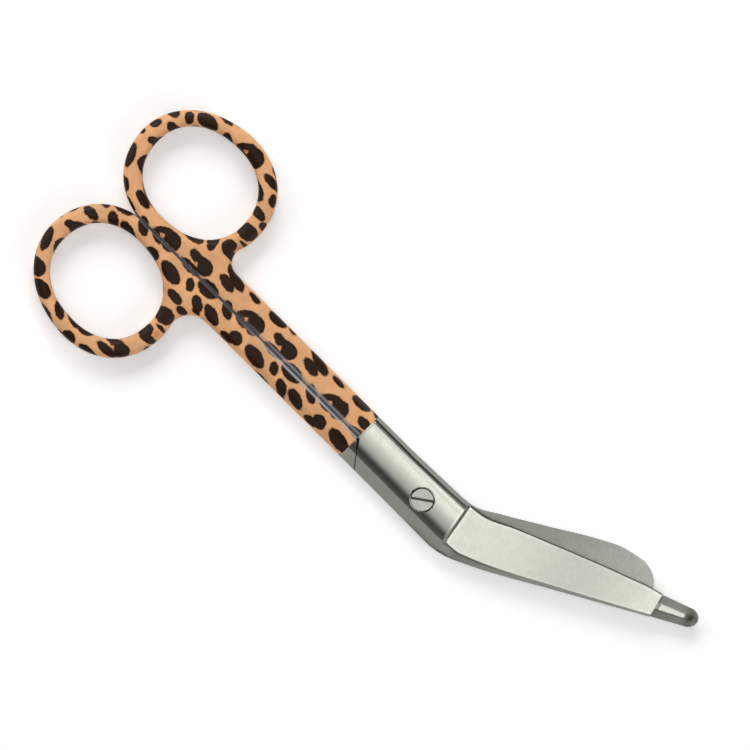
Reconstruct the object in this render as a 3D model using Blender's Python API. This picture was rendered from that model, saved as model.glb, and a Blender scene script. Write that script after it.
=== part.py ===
# Bandage scissors, 140 mm long: two forged halves that cross at a slotted screw, with printed handles.
# Frame: +X from the finger rings to the probe, +Y towards the front ring, +Z up, origin under the screw.
# Each half is drawn in its own frame first: outer face up, ring towards +Y, mating plane at z = 0.

import math

import bmesh
import bpy
import numpy as np
from mathutils import Matrix

MM = 0.001


def mm(points):
    """Points or numbers given in millimetres, as metres."""
    return np.array(points, float) * MM


# Joint
HALF_THICKNESS = 2.6 * MM  # mating plane to the top of the crown
MATING_GAP = 0.2 * MM
JOINT_START = -16.4 * MM  # where the coating ends and bare steel begins
JOINT_END = 7.0 * MM  # end of the crown at the outer edge
JOINT_END_SLANT = 0.18  # how far the end leans along X for each unit across
JOINT_END_LEAN = 0.45 * MM  # length of the slope from the crown down to the blade
FRONT_REACH = 5.15 * MM  # pivot line to the front half's outer edge, along the shank
BACK_REACH = 5.0 * MM
SWELL_START = -8.0 * MM  # from here the joint widens towards its end
FRONT_SWELL = 0.45 * MM
BACK_SWELL = 0.1 * MM

# Crown of the joint, across one half
LAND_CENTRE = 2.6 * MM  # flat top, off the pivot towards the outer edge
LAND_WIDTH = 1.6 * MM
NARROW_FLANK = 1.0 * MM
WIDE_FLANK = 2.35 * MM
NARROW_ROLL = 0.15 * MM  # drop from the land to the narrow flank
WIDE_ROLL = 0.5 * MM
NARROW_EDGE = 0.9 * MM  # height of the outer edge over the mating plane
WIDE_EDGE = 0.15 * MM
ROLL_POWER = 2.6

# Shoulders, where each lap stops against the other half's shank
SHOULDER_START = -16.5 * MM
SHOULDER_LENGTH = 3.85 * MM
SHOULDER_GAP = 0.3 * MM

# Shanks
PARTING_SHIFT = -0.17 * MM  # parting line, off the pivot
PARTING_GAP = 0.3 * MM
PARTING_CHAMFER = 0.4 * MM
HANDLE_EDGE_RADIUS = 1.4 * MM
FLANK_FADE_LENGTH = 30.0 * MM  # the joint's flanks run out along the shank over this length
WIDE_FADE = 1.3 * MM
NARROW_FADE = 0.7 * MM
THINNING_START = -18.0 * MM  # the shanks thin evenly from here
THINNING_END = -54.0 * MM

# Finger rings
RING_CENTRE_FRONT = mm((-70.0, 12.35))
RING_CENTRE_BACK = mm((-69.5, 12.6))
RING_THICKNESS = 4.5 * MM
RING_BAND = mm((3.5, 3.15))  # at the ring's ends and at its sides
RING_LEAN = math.radians(12)
RING_SQUARENESS = 2.13
RING_RUN_OUT = math.radians(12)  # slope at which the ring's low side runs straight into the parting line
FINGER_HOLE = mm((22.0, 18.8))
HOLE_LEAN = math.radians(4)
HOLE_SQUARENESS = 2.2
FRONT_FILLET = 2.8 * MM
BACK_FILLET = 4.2 * MM

# Coatings
COAT_THICKNESS = 0.35 * MM
COAT_CLEARANCE = 0.1 * MM
COAT_END_GAP = 0.15 * MM

# Blades
FACE_ROOT = 2.0 * MM  # height of a blade's flat outer face over the mating plane
FACE_TIP = 1.75 * MM
BACK_FACE_TIP = 1.3 * MM
BLADE_RELIEF = 0.05 * MM  # inner faces ground back from the laps
EDGE_SETBACK = 0.12 * MM  # the cutting edge leans in by this much
FRONT_EDGE = mm([(4, 5.55), (7.5, 5.6), (11, 6.2), (15, 8.15), (28, 13.5), (41, 18.6), (43.6, 19.05)])
FRONT_SPINE = mm([(4, -5.02), (8, -4.95), (11, -4.15), (14, -2.8), (30, 6.0), (44.8, 14.3)])
BACK_SPINE = mm([(5, 5.5), (8, 6.0), (12, 8.25), (20, 13.0), (28, 17.8), (32, 19.8), (36.8, 20.95)])
FRONT_BLADE_END = 43.6 * MM
FRONT_BLADE_SLANT = 1.2 * MM
BACK_BLADE_END = 42.2 * MM
BLADE_OVERLAP = 2.0 * MM
LEAST_BLADE = 0.5 * MM
HEEL_LENGTH = 13.0 * MM
SPINE_STRIP_ROOT = 2.1 * MM
SPINE_STRIP_TIP = 0.5 * MM
SPINE_STRIP_FALL = 5.5 * MM
WIDEST_STRIP = 0.4  # of the blade's width, where the back blade's end narrows

# Probe at the front blade's tip
PROBE_LENGTH = 8.25 * MM
PROBE_START = -0.6 * MM  # it begins inside the blade
PROBE_HALF_WIDTH_ROOT = 2.25 * MM
PROBE_HALF_WIDTH_TIP = 1.65 * MM
PROBE_HALF_HEIGHT = 1.5 * MM
PROBE_LAND = 1.0 * MM
PROBE_SIDE = 0.6 * MM
PROBE_ROUND = 1.9 * MM  # length of the rounded end
PROBE_END = 0.15  # size of the last section, of the full one
PROBE_TURN = math.radians(24.5)

# Pivot screw
HEAD_DIAMETER = 4.35 * MM
HEAD_DEPTH = 1.3 * MM
NECK_DIAMETER = 3.0 * MM
RUNNING_CLEARANCE = 0.08 * MM
HEAD_CLEARANCE = 0.15 * MM
HEAD_SINK = 0.05 * MM
SLOT_WIDTH = 0.5 * MM
SLOT_DEPTH = 0.6 * MM
SLOT_TURN = math.radians(35)

# Fineness
OUTLINE_STEPS = 44
HOLE_STEPS = 44
FILLET_STEPS = 7
SEARCH_STEPS = 1441
CURVE_STEPS = 9
ROLL_OUT_STEPS = 4
ROUND_STEPS = 48
BLADE_STEPS = 15
TIP_STEPS = 7
SHARP_ANGLE = math.radians(28)
WELD = 0.002 * MM
JOIN_OVERLAP = 0.05 * MM
CUTTER_MARGIN = 6 * MM
CUTTER_REACH = 18 * MM

COLLECTION = "bandage_scissors"
CUTTERS = "cutters"


def clear_scene():
    for thing in list(bpy.data.objects):
        bpy.data.objects.remove(thing, do_unlink=True)


def new_collection(name):
    collection = bpy.data.collections.new(name)
    bpy.context.scene.collection.children.link(collection)
    return collection


def material(name, colour, roughness, metallic):
    made = bpy.data.materials.new(name)
    made.use_nodes = True
    shader = made.node_tree.nodes["Principled BSDF"]
    shader.inputs["Base Color"].default_value = (*colour, 1)
    shader.inputs["Roughness"].default_value = roughness
    shader.inputs["Metallic"].default_value = metallic
    return made


def add_object(name, mesh, collection=CUTTERS):
    thing = bpy.data.objects.new(name, mesh)
    bpy.data.collections[collection].objects.link(thing)
    if collection == CUTTERS:
        thing.hide_render = True
        thing.display_type = "WIRE"
    return thing


def curve_through(points, x):
    """Height at x of a smooth line through the points, with a cubic between each two."""
    slope = np.gradient(points[:, 1], points[:, 0])
    i = np.clip(np.searchsorted(points[:, 0], x) - 1, 0, len(points) - 2)
    step = points[i + 1, 0] - points[i, 0]
    t = (x - points[i, 0]) / step
    return (
        (2 * t**3 - 3 * t**2 + 1) * points[i, 1]
        + (t**3 - 2 * t**2 + t) * step * slope[i]
        + (3 * t**2 - 2 * t**3) * points[i + 1, 1]
        + (t**3 - t**2) * step * slope[i + 1]
    )


def loft(name, sections):
    """A closed solid through sections that have the same number of points."""
    count = len(sections[0])
    shape = bmesh.new()
    rings = [[shape.verts.new(point) for point in section] for section in sections]
    for near, far in zip(rings, rings[1:]):
        for i in range(count):
            j = (i + 1) % count
            shape.faces.new((near[i], near[j], far[j], far[i]))
    shape.faces.new(rings[0][::-1])
    shape.faces.new(rings[-1])
    bmesh.ops.recalc_face_normals(shape, faces=shape.faces)
    mesh = bpy.data.meshes.new(name)
    shape.to_mesh(mesh)
    shape.free()
    return add_object(name, mesh)


def prism(name, outline, low, high):
    """An outline in plan, carried from one height to another."""
    return loft(name, [[(x, y, z) for x, y in outline] for z in (low, high)])


def cylinder(name, diameter, low, high):
    shape = bmesh.new()
    bmesh.ops.create_cone(
        shape,
        cap_ends=True,
        segments=ROUND_STEPS,
        radius1=diameter / 2,
        radius2=diameter / 2,
        depth=high - low,
        matrix=Matrix.Translation((0, 0, (low + high) / 2)),
    )
    mesh = bpy.data.meshes.new(name)
    shape.to_mesh(mesh)
    shape.free()
    return add_object(name, mesh)


def boolean(thing, operation, other):
    step = thing.modifiers.new(f"{operation.lower()} {other.name}", "BOOLEAN")
    step.operation = operation
    step.solver = "EXACT"
    step.object = other


# Joint: one half's section is a crown between a narrow outer flank and a wide inner one


def half_section(outer, inner, base):
    """Section across one half, from its outer edge over the crown to its inner edge. Pairs of y and z."""
    land_out = LAND_CENTRE + LAND_WIDTH / 2
    land_in = LAND_CENTRE - LAND_WIDTH / 2
    crown_out = outer - NARROW_FLANK
    crown_in = -inner + WIDE_FLANK
    t = np.linspace(0, 1, CURVE_STEPS)
    roll_in = np.column_stack([
        land_in + (crown_in - land_in) * t,
        HALF_THICKNESS - WIDE_ROLL * t**ROLL_POWER,
    ])
    t = np.linspace(1, 0, ROLL_OUT_STEPS)
    roll_out = np.column_stack([
        land_out + (crown_out - land_out) * t,
        HALF_THICKNESS - NARROW_ROLL * t**ROLL_POWER,
    ])
    return np.vstack([
        [(outer, base), (outer, NARROW_EDGE)],
        roll_out,
        roll_in,
        [(-inner, WIDE_EDGE), (-inner, base)],
    ])


def joint_block(name, half, other, base):
    """The crown of one half, from the coating's end to the slope that leads down to the blade."""
    even = half_section(half["reach"], other["reach"], base)
    swollen = half_section(half["reach"] + half["swell"], other["reach"] + other["swell"], base)
    slant = (swollen[0, 0] - swollen[:, 0]) * JOINT_END_SLANT
    lean = swollen[:, 1] / HALF_THICKNESS * JOINT_END_LEAN
    return loft(name, [
        np.insert(even, 0, JOINT_START, axis=1),
        np.insert(even, 0, SWELL_START, axis=1),
        np.insert(swollen, 0, JOINT_END + slant - lean, axis=1),
    ])


def shoulder_line(parting, side):
    """Two points of the line on which a lap ends, moved to one side by half its gap."""
    reach = FRONT_REACH + CUTTER_MARGIN
    run = SHOULDER_LENGTH / BACK_REACH
    start = SHOULDER_START + side * SHOULDER_GAP / 2 * math.hypot(1, run)
    return (start, parting), (start + run * (reach + parting), -reach)


# Handles: ring, fillet and shank in one outline, rounded at its edges and cut flat at the parting line


def leaning_ellipse(centre, reach, squareness, lean, turn):
    """Points at the given turns round a squared ellipse, whose long axis leans by an angle."""
    c, s = np.cos(turn), np.sin(turn)
    along = reach[0] * np.sign(c) * np.abs(c) ** (2 / squareness)
    across = reach[1] * np.sign(s) * np.abs(s) ** (2 / squareness)
    return np.column_stack([
        centre[0] + along * math.cos(lean) - across * math.sin(lean),
        centre[1] + along * math.sin(lean) + across * math.cos(lean),
    ])


def handle_outline(half):
    """Outer outline of a handle: along the shank, round the fillet and the ring, and past the parting line."""
    reach, fillet = half["reach"], half["fillet"]
    ring_reach = FINGER_HOLE / 2 + RING_BAND
    floor = half["parting"] - HANDLE_EDGE_RADIUS - PARTING_CHAMFER
    far = JOINT_START + CUTTER_MARGIN
    turn = np.linspace(-math.pi / 2, 1.5 * math.pi, SEARCH_STEPS)
    ring = leaning_ellipse(half["ring_centre"], ring_reach, RING_SQUARENESS, RING_LEAN, turn)
    ahead = np.gradient(ring, axis=0)
    outward = np.column_stack([ahead[:, 1], -ahead[:, 0]]) / np.hypot(ahead[:, 0], ahead[:, 1])[:, None]

    # The fillet's centre lies its radius outside the ring and over the shank's edge
    moved = ring + fillet * outward
    first = int(np.argmax(moved[:, 1] > reach + fillet))
    centre = moved[first]
    to_ring = ring[first] - centre
    at_ring = math.atan2(to_ring[1], to_ring[0]) % (2 * math.pi)
    sweep = np.linspace(1.5 * math.pi, at_ring, FILLET_STEPS)[:-1]
    round_in = centre + fillet * np.column_stack([np.cos(sweep), np.sin(sweep)])

    # The low side turns straight where its slope has come down to the run-out
    heading = np.arctan2(ahead[:, 1], ahead[:, 0])
    last = int(np.argmax((turn > math.pi) & (heading > -RING_RUN_OUT)))
    run_out = (ring[last, 1] - floor) / math.tan(RING_RUN_OUT)
    kept = np.linspace(first, last, OUTLINE_STEPS).round().astype(int)
    return np.vstack([[(far, floor), (far, reach)], round_in, ring[kept], [(ring[last, 0] + run_out, floor)]])


def handle_solid(name, half, inset, resolution):
    """The handle, shrunk by an inset all round for the coating's hollow and for the steel inside it."""
    hole_turn = np.linspace(2 * math.pi, 0, HOLE_STEPS, endpoint=False)
    hole = leaning_ellipse(half["ring_centre"], FINGER_HOLE / 2, HOLE_SQUARENESS, HOLE_LEAN, hole_turn)
    flat = bpy.data.curves.new(name, "CURVE")
    flat.dimensions = "2D"
    flat.fill_mode = "BOTH"
    flat.extrude = HALF_THICKNESS - HANDLE_EDGE_RADIUS
    flat.bevel_depth = HANDLE_EDGE_RADIUS - inset
    flat.bevel_resolution = resolution
    flat.offset = -HANDLE_EDGE_RADIUS
    for points in (handle_outline(half), hole):
        line = flat.splines.new("POLY")
        line.points.add(len(points) - 1)
        for place, (x, y) in zip(line.points, points):
            place.co = (x, y, 0, 1)
        line.use_cyclic_u = True
    drawn = add_object(name + "_curve", flat)
    graph = bpy.context.evaluated_depsgraph_get()
    mesh = bpy.data.meshes.new_from_object(drawn.evaluated_get(graph))
    shape = bmesh.new()
    shape.from_mesh(mesh)
    bmesh.ops.remove_doubles(shape, verts=shape.verts, dist=WELD)
    shape.to_mesh(mesh)
    shape.free()
    solid = add_object(name, mesh)
    solid.matrix_world = drawn.matrix_world
    bpy.data.objects.remove(drawn)
    parting = parting_cutter(name + "_parting", half["parting"] + inset, HALF_THICKNESS - inset)
    for cutter in (parting, *flank_cutters(name, half, inset)):
        boolean(solid, "DIFFERENCE", cutter)
    return solid


def parting_cutter(name, parting, half_height):
    """Takes away what lies past the parting face, with a chamfer along its two edges."""
    out = parting - CUTTER_MARGIN
    high = half_height + CUTTER_MARGIN
    slope_end = parting + PARTING_CHAMFER + CUTTER_MARGIN
    shape = [
        (out, -high),
        (slope_end, -high),
        (parting, PARTING_CHAMFER - half_height),
        (parting, half_height - PARTING_CHAMFER),
        (slope_end, high),
        (out, high),
    ]
    start = RING_CENTRE_FRONT[0] - FINGER_HOLE[0]
    end = JOINT_START + 2 * CUTTER_MARGIN
    return loft(name, [[(x, y, z) for y, z in shape] for x in (start, end)])


def flank_cutters(name, half, inset):
    """The joint's two flanks, carried on along the shank until they run out of its rounded edges."""
    reach = half["reach"]
    wide = ((reach - WIDE_FLANK, WIDE_ROLL - HALF_THICKNESS), (reach, -WIDE_EDGE), WIDE_FADE)
    narrow = ((reach - NARROW_FLANK, HALF_THICKNESS - NARROW_ROLL), (reach, NARROW_EDGE), NARROW_FADE)
    made = []
    for label, (crown, edge, fade) in (("wide", wide), ("narrow", narrow)):
        crown, edge = np.array(crown), np.array(edge)
        along = (edge - crown) / np.linalg.norm(edge - crown)
        outward = np.array([abs(along[1]), math.copysign(along[0], crown[1])])
        first, last = crown - along * CUTTER_MARGIN, edge + along * CUTTER_MARGIN
        corners = np.array([first, last, last + outward * CUTTER_MARGIN, first + outward * CUTTER_MARGIN])
        sections = []
        for x in (JOINT_START + CUTTER_MARGIN, JOINT_START - FLANK_FADE_LENGTH):
            shift = fade * (JOINT_START - x) / FLANK_FADE_LENGTH
            moved = corners + outward * (shift - inset)
            sections.append([(x, y, z) for y, z in moved])
        made.append(loft(f"{name}_{label}_flank", sections))
    return made


def end_cutter(name, start):
    """Everything past a place along the shank."""
    box = [(start, -CUTTER_REACH), (start + CUTTER_REACH, -CUTTER_REACH)]
    box += [(x, -y) for x, y in box[::-1]]
    return prism(name, box, -CUTTER_MARGIN, CUTTER_MARGIN)


def thin_handle(mesh):
    """Thins the handle evenly, from its full thickness near the joint to the ring's own."""
    shape = bmesh.new()
    shape.from_mesh(mesh)
    for x in (THINNING_START, THINNING_END):
        cut = [*shape.verts, *shape.edges, *shape.faces]
        bmesh.ops.bisect_plane(shape, geom=cut, dist=WELD, plane_co=(x, 0, 0), plane_no=(1, 0, 0))
    thinnest = RING_THICKNESS / (2 * HALF_THICKNESS)
    for point in shape.verts:
        share = (THINNING_START - point.co.x) / (THINNING_START - THINNING_END)
        point.co.z *= 1 - (1 - thinnest) * min(max(share, 0), 1)
    shape.to_mesh(mesh)
    shape.free()


# Blades: ribs across the blade, from its cutting edge to its spine


def blade_rib(edge, spine, face, strip):
    """One rib: flat inner face, leaning cutting edge, flat outer face, and a strip sloping to the spine."""
    edge, spine = np.array(edge), np.array(spine)
    across = (spine - edge) / np.linalg.norm(spine - edge)
    low = MATING_GAP / 2 + BLADE_RELIEF
    plan = [edge, edge + across * EDGE_SETBACK, spine - across * strip, spine, spine]
    heights = [low, face, face, low + WIDE_EDGE, low]
    return [(x, y, z) for (x, y), z in zip(plan, heights)]


def strip_width(x):
    fall = math.exp(-max(x - JOINT_END, 0) / SPINE_STRIP_FALL)
    return SPINE_STRIP_TIP + (SPINE_STRIP_ROOT - SPINE_STRIP_TIP) * fall


def front_blade():
    ribs = []
    root = JOINT_END - JOINT_END_LEAN / 2
    root_slant = (FRONT_REACH + BACK_REACH) * JOINT_END_SLANT
    for share in np.linspace(0, 1, BLADE_STEPS):
        x = root + (FRONT_BLADE_END - root) * share
        x_spine = x + root_slant + (FRONT_BLADE_SLANT - root_slant) * share
        edge = (x, curve_through(FRONT_EDGE, x))
        spine = (x_spine, curve_through(FRONT_SPINE, x_spine))
        face = FACE_ROOT + (FACE_TIP - FACE_ROOT) * share
        ribs.append(blade_rib(edge, spine, face, strip_width(x)))
    return loft("front_blade", ribs)


def probe():
    """Blunt tip, wider in the middle of its height, with a narrow land on top and below."""
    root_edge = np.array((FRONT_BLADE_END, curve_through(FRONT_EDGE, FRONT_BLADE_END)))
    spine_x = FRONT_BLADE_END + FRONT_BLADE_SLANT
    root_spine = np.array((spine_x, curve_through(FRONT_SPINE, spine_x)))
    start = (root_edge + root_spine) / 2
    ahead = np.array((math.cos(PROBE_TURN), math.sin(PROBE_TURN)))
    left = np.array((-ahead[1], ahead[0]))
    straight = PROBE_LENGTH - PROBE_ROUND
    stations = [(PROBE_START, 1.0), (0.0, 1.0), (straight / 2, 1.0), (straight, 1.0)]
    for turn in np.linspace(0, math.pi / 2, TIP_STEPS)[1:-1]:
        stations.append((straight + PROBE_ROUND * math.sin(turn), math.cos(turn)))
    stations.append((PROBE_LENGTH, PROBE_END))
    sections = []
    for along, size in stations:
        share = max(along, 0) / PROBE_LENGTH
        width = PROBE_HALF_WIDTH_ROOT + (PROBE_HALF_WIDTH_TIP - PROBE_HALF_WIDTH_ROOT) * share
        quarter = [(PROBE_LAND / 2, PROBE_HALF_HEIGHT), (width, PROBE_SIDE / 2)]
        right = quarter + [(offset, -height) for offset, height in quarter[::-1]]
        corners = right + [(-offset, height) for offset, height in right[::-1]]
        centre = start + ahead * along
        sections.append([(*(centre + left * offset * size), height * size) for offset, height in corners])
    return loft("probe", sections)


def back_blade():
    """The wide blade with its rounded end, worked out as it lies closed and turned over into its own frame."""
    ribs = []
    apex_x, apex_y = BACK_SPINE[-1]
    end_y = curve_through(FRONT_EDGE, BACK_BLADE_END) - BLADE_OVERLAP
    root_width = FRONT_REACH + FRONT_SWELL + BACK_REACH + BACK_SWELL
    body = np.linspace(JOINT_END, apex_x, BLADE_STEPS)
    tip = apex_x + (BACK_BLADE_END - apex_x) * np.sin(np.linspace(0, math.pi / 2, CURVE_STEPS)[1:])
    for x in [*body, *tip]:
        heel = max(0.0, 1 - (x - JOINT_END) / HEEL_LENGTH) ** 2
        edge_y = curve_through(FRONT_EDGE, x) - BLADE_OVERLAP - (root_width - BLADE_OVERLAP) * heel
        if x <= apex_x:
            spine_y = curve_through(BACK_SPINE, x)
        else:
            past_apex = min(1.0, (x - apex_x) / (BACK_BLADE_END - apex_x))
            spine_y = end_y + (apex_y - end_y) * math.sqrt(1 - past_apex**2)
        spine_y = max(spine_y, edge_y + LEAST_BLADE)
        share = (x - JOINT_END) / (BACK_BLADE_END - JOINT_END)
        strip = min(strip_width(x), WIDEST_STRIP * (spine_y - edge_y))
        face = FACE_ROOT + (BACK_FACE_TIP - FACE_ROOT) * share
        ribs.append(blade_rib((x, -edge_y), (x, -spine_y), face, strip))
    return loft("back_blade", ribs)


# Halves, coatings and screw


def build_half(name, half, other, blades):
    """Steel of one half: core of the handle, lap with its crown, stub beside the other lap, and blade."""
    low = MATING_GAP / 2
    back_x = JOINT_START - CUTTER_MARGIN
    lap = joint_block(f"{name}_lap", half, other, low)
    lap.hide_render = False
    start, far = shoulder_line(half["parting"], 1)
    past_shoulder = [start, far, (back_x, far[1]), (back_x, start[1])]
    boolean(lap, "DIFFERENCE", prism(f"{name}_shoulder", past_shoulder, 0, CUTTER_MARGIN))

    stub = joint_block(f"{name}_stub", other, half, -MATING_GAP)
    stub.data.transform(Matrix.Rotation(math.pi, 4, "X"))
    start, far = shoulder_line(-half["parting"], -1)
    room = [(start[0], -start[1]), (back_x, -start[1]), (back_x, -far[1]), (far[0], -far[1])]
    boolean(stub, "INTERSECT", prism(f"{name}_stub_room", room, -CUTTER_MARGIN, CUTTER_MARGIN))
    boolean(stub, "DIFFERENCE", parting_cutter(f"{name}_stub_parting", half["parting"], HALF_THICKNESS))

    core = handle_solid(f"{name}_core", half, COAT_THICKNESS + COAT_CLEARANCE, 1)
    boolean(core, "DIFFERENCE", end_cutter(f"{name}_core_end", JOINT_START + JOIN_OVERLAP))
    for piece in (stub, core, *blades):
        boolean(lap, "UNION", piece)
    return lap


def build_coat(name, half):
    coat = handle_solid(f"{name}_coat", half, 0.0, 2)
    boolean(coat, "DIFFERENCE", handle_solid(f"{name}_hollow", half, COAT_THICKNESS, 1))
    boolean(coat, "DIFFERENCE", end_cutter(f"{name}_coat_end", JOINT_START - COAT_END_GAP))
    return coat


def build_screw(front, back):
    """Slotted head flush with the crown, a plain neck, and an end that shows on the back."""
    head_low = HALF_THICKNESS - HEAD_DEPTH + HEAD_SINK
    screw = cylinder("screw", HEAD_DIAMETER, head_low, HALF_THICKNESS + CUTTER_MARGIN)
    screw.hide_render = False
    boolean(screw, "UNION", cylinder("neck", NECK_DIAMETER, -HALF_THICKNESS, head_low + HEAD_SINK))
    trim = joint_block("screw_trim", front, back, -2 * HALF_THICKNESS)
    trim.data.transform(Matrix.Translation((0, 0, -HEAD_SINK)))
    boolean(screw, "INTERSECT", trim)
    bottom = HALF_THICKNESS - SLOT_DEPTH - HEAD_SINK
    box = [(-HEAD_DIAMETER, -SLOT_WIDTH / 2), (HEAD_DIAMETER, -SLOT_WIDTH / 2)]
    box += [(x, -y) for x, y in box[::-1]]
    slot = prism("slot", box, bottom, HALF_THICKNESS + CUTTER_MARGIN)
    slot.data.transform(Matrix.Rotation(SLOT_TURN, 4, "Z"))
    boolean(screw, "DIFFERENCE", slot)
    return screw


def finish(thing, name, surface, place, thinned=True):
    """The finished solid as one mesh in the parts' collection, moved to its place in the closed scissors."""
    graph = bpy.context.evaluated_depsgraph_get()
    mesh = bpy.data.meshes.new_from_object(thing.evaluated_get(graph))
    mesh.name = name
    if thinned:
        thin_handle(mesh)
    mesh.transform(place)
    mesh.materials.clear()
    mesh.materials.append(surface)
    mesh.shade_smooth()
    mesh.set_sharp_from_angle(angle=SHARP_ANGLE)
    thing.hide_render = True
    add_object(name, mesh, COLLECTION)


def main():
    clear_scene()
    new_collection(COLLECTION)
    new_collection(CUTTERS).hide_render = True

    steel = material("satin steel", (0.62, 0.63, 0.58), 0.3, 1.0)
    screw_steel = material("screw steel", (0.55, 0.56, 0.52), 0.35, 1.0)
    print_front = material("printed coating front", (0.72, 0.38, 0.18), 0.4, 0.0)
    print_back = material("printed coating back", (0.68, 0.35, 0.16), 0.4, 0.0)

    front = {
        "reach": FRONT_REACH,
        "swell": FRONT_SWELL,
        "ring_centre": RING_CENTRE_FRONT,
        "fillet": FRONT_FILLET,
        "parting": PARTING_SHIFT + PARTING_GAP / 2,
    }
    back = {
        "reach": BACK_REACH,
        "swell": BACK_SWELL,
        "ring_centre": RING_CENTRE_BACK,
        "fillet": BACK_FILLET,
        "parting": -PARTING_SHIFT + PARTING_GAP / 2,
    }
    lift = Matrix.Translation((0, 0, HALF_THICKNESS))
    turned = lift @ Matrix.Rotation(math.pi, 4, "X")

    front_steel = build_half("front", front, back, [front_blade(), probe()])
    back_steel = build_half("back", back, front, [back_blade()])
    neck_room = NECK_DIAMETER + 2 * RUNNING_CLEARANCE
    head_room = HEAD_DIAMETER + 2 * HEAD_CLEARANCE
    neck_hole = cylinder("neck_hole", neck_room, -CUTTER_MARGIN, CUTTER_MARGIN)
    head_hole = cylinder("head_hole", head_room, HALF_THICKNESS - HEAD_DEPTH, CUTTER_MARGIN)
    boolean(front_steel, "DIFFERENCE", neck_hole)
    boolean(front_steel, "DIFFERENCE", head_hole)
    boolean(back_steel, "DIFFERENCE", neck_hole)

    finish(front_steel, "front_half", steel, lift)
    finish(back_steel, "back_half", steel, turned)
    finish(build_coat("front", front), "front_handle_coating", print_front, lift)
    finish(build_coat("back", back), "back_handle_coating", print_back, turned)
    finish(build_screw(front, back), "pivot_screw", screw_steel, lift, thinned=False)


main()
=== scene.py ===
import math

import bmesh
import bpy
import numpy as np
from mathutils import Matrix, Vector


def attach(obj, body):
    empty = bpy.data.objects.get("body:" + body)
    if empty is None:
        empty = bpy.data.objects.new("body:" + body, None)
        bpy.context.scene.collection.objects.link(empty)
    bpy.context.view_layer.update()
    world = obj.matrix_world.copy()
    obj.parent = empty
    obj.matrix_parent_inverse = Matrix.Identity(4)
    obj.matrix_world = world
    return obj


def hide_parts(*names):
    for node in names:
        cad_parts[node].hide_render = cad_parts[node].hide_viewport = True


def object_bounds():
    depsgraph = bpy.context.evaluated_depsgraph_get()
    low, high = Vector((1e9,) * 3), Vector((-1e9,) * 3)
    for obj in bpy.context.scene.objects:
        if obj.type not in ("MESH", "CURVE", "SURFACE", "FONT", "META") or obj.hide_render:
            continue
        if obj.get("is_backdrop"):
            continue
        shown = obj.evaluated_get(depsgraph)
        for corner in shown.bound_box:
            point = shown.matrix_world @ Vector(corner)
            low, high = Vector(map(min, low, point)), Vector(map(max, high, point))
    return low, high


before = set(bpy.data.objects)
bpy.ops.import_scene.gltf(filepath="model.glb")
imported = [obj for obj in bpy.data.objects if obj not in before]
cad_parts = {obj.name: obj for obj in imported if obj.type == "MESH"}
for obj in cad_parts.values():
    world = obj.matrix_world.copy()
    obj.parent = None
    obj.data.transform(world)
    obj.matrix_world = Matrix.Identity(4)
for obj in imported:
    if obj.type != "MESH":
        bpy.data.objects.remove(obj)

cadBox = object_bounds()
mm = 0.001
print("frame loaded:", ", ".join(sorted(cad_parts)))

# Sizes shared by both halves, in mm, in a half's own frame: mating plane at 0, ring on the +Y side
body = {
    "halfThickness": 2.6,
    "matingGap": 0.1,
    "steelStart": -17.3,  # under the coating
    "coatEnd": -16.4,
    "coatOver": 0.06,  # how far the steel lies under the coating's end
    "partingChamfer": 0.7,
    "partingDepth": 0.45,
    "partingDulled": 0.08,  # the chamfer's steel lies this much under the coating's
    "jointEnd": 7.0,
    "endSlant": 0.18,
    "endSlope": 0.45,
    "swellFrom": -8.0,
    "shoulderStart": -16.5,
    "shoulderEnd": -12.5,
    "shoulderRun": 0.77,
    "shoulderGap": 0.15,  # half of it, to each side of the slanted line
    "shoulderWider": 0.24,  # more of it at the parting line
}
halves = {
    "front": {
        "reach": 5.15,
        "swell": 0.45,
        "innerReach": 5.0,
        "innerSwell": 0.1,
        "parting": -0.15,
        "ringCentre": (-70.0, 12.35),
        "fillet": 2.8,
    },
    "back": {
        "reach": 5.0,
        "swell": 0.1,
        "innerReach": 5.15,
        "innerSwell": 0.45,
        "parting": 0.19,
        "ringCentre": (-69.5, 12.6),
        "fillet": 4.2,
    },
}


# smooth step: 3t^2 - 2t^3 between two values
def ease(low, high, x):
    t = np.clip((np.asarray(x, float) - low) / (high - low), 0, 1)
    return t * t * (3 - 2 * t)


# from one value to another by a share
def towards(start, goal, share):
    return start + (goal - start) * share


# bell curve: e to the power of -(distance / width)^2
def bell(x, centre, width):
    return np.exp(-((x - centre) / width) ** 2)


# value at x of a list of x and value pairs, on straight lines between them
def tableAt(pairs, x):
    return np.interp(x, *np.array(pairs).T)


# a cubic through each pair of points, with the slope at a point taken over its neighbours
def lineThrough(points, x):
    points = np.asarray(points, float)
    x = np.asarray(x, float)
    slope = np.gradient(points[:, 1], points[:, 0])
    i = np.clip(np.searchsorted(points[:, 0], x) - 1, 0, len(points) - 2)
    step = points[i + 1, 0] - points[i, 0]
    t = (x - points[i, 0]) / step
    return (
        (2 * t**3 - 3 * t**2 + 1) * points[i, 1]
        + (t**3 - 2 * t**2 + t) * step * slope[i]
        + (3 * t**2 - 2 * t**3) * points[i + 1, 1]
        + (t**3 - t**2) * step * slope[i + 1]
    )


# quads over a grid of points numbered row by row; closeAcross joins the last column to the first
def gridFaces(rows, columns, closeAcross=False, start=0):
    number = start + np.arange(rows * columns).reshape(rows, columns)
    if closeAcross:
        number = np.concatenate([number, number[:, :1]], axis=1)
    return np.stack([number[:-1, :-1], number[:-1, 1:], number[1:, 1:], number[1:, :-1]], -1).reshape(-1, 4)


# faces of a run of closed rings, with one flat face at each end
def tubeFaces(rings, around):
    faces = gridFaces(rings, around, True).tolist()
    faces.append(list(range(around))[::-1])
    faces.append(list(range(around * (rings - 1), around * rings)))
    return faces


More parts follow.
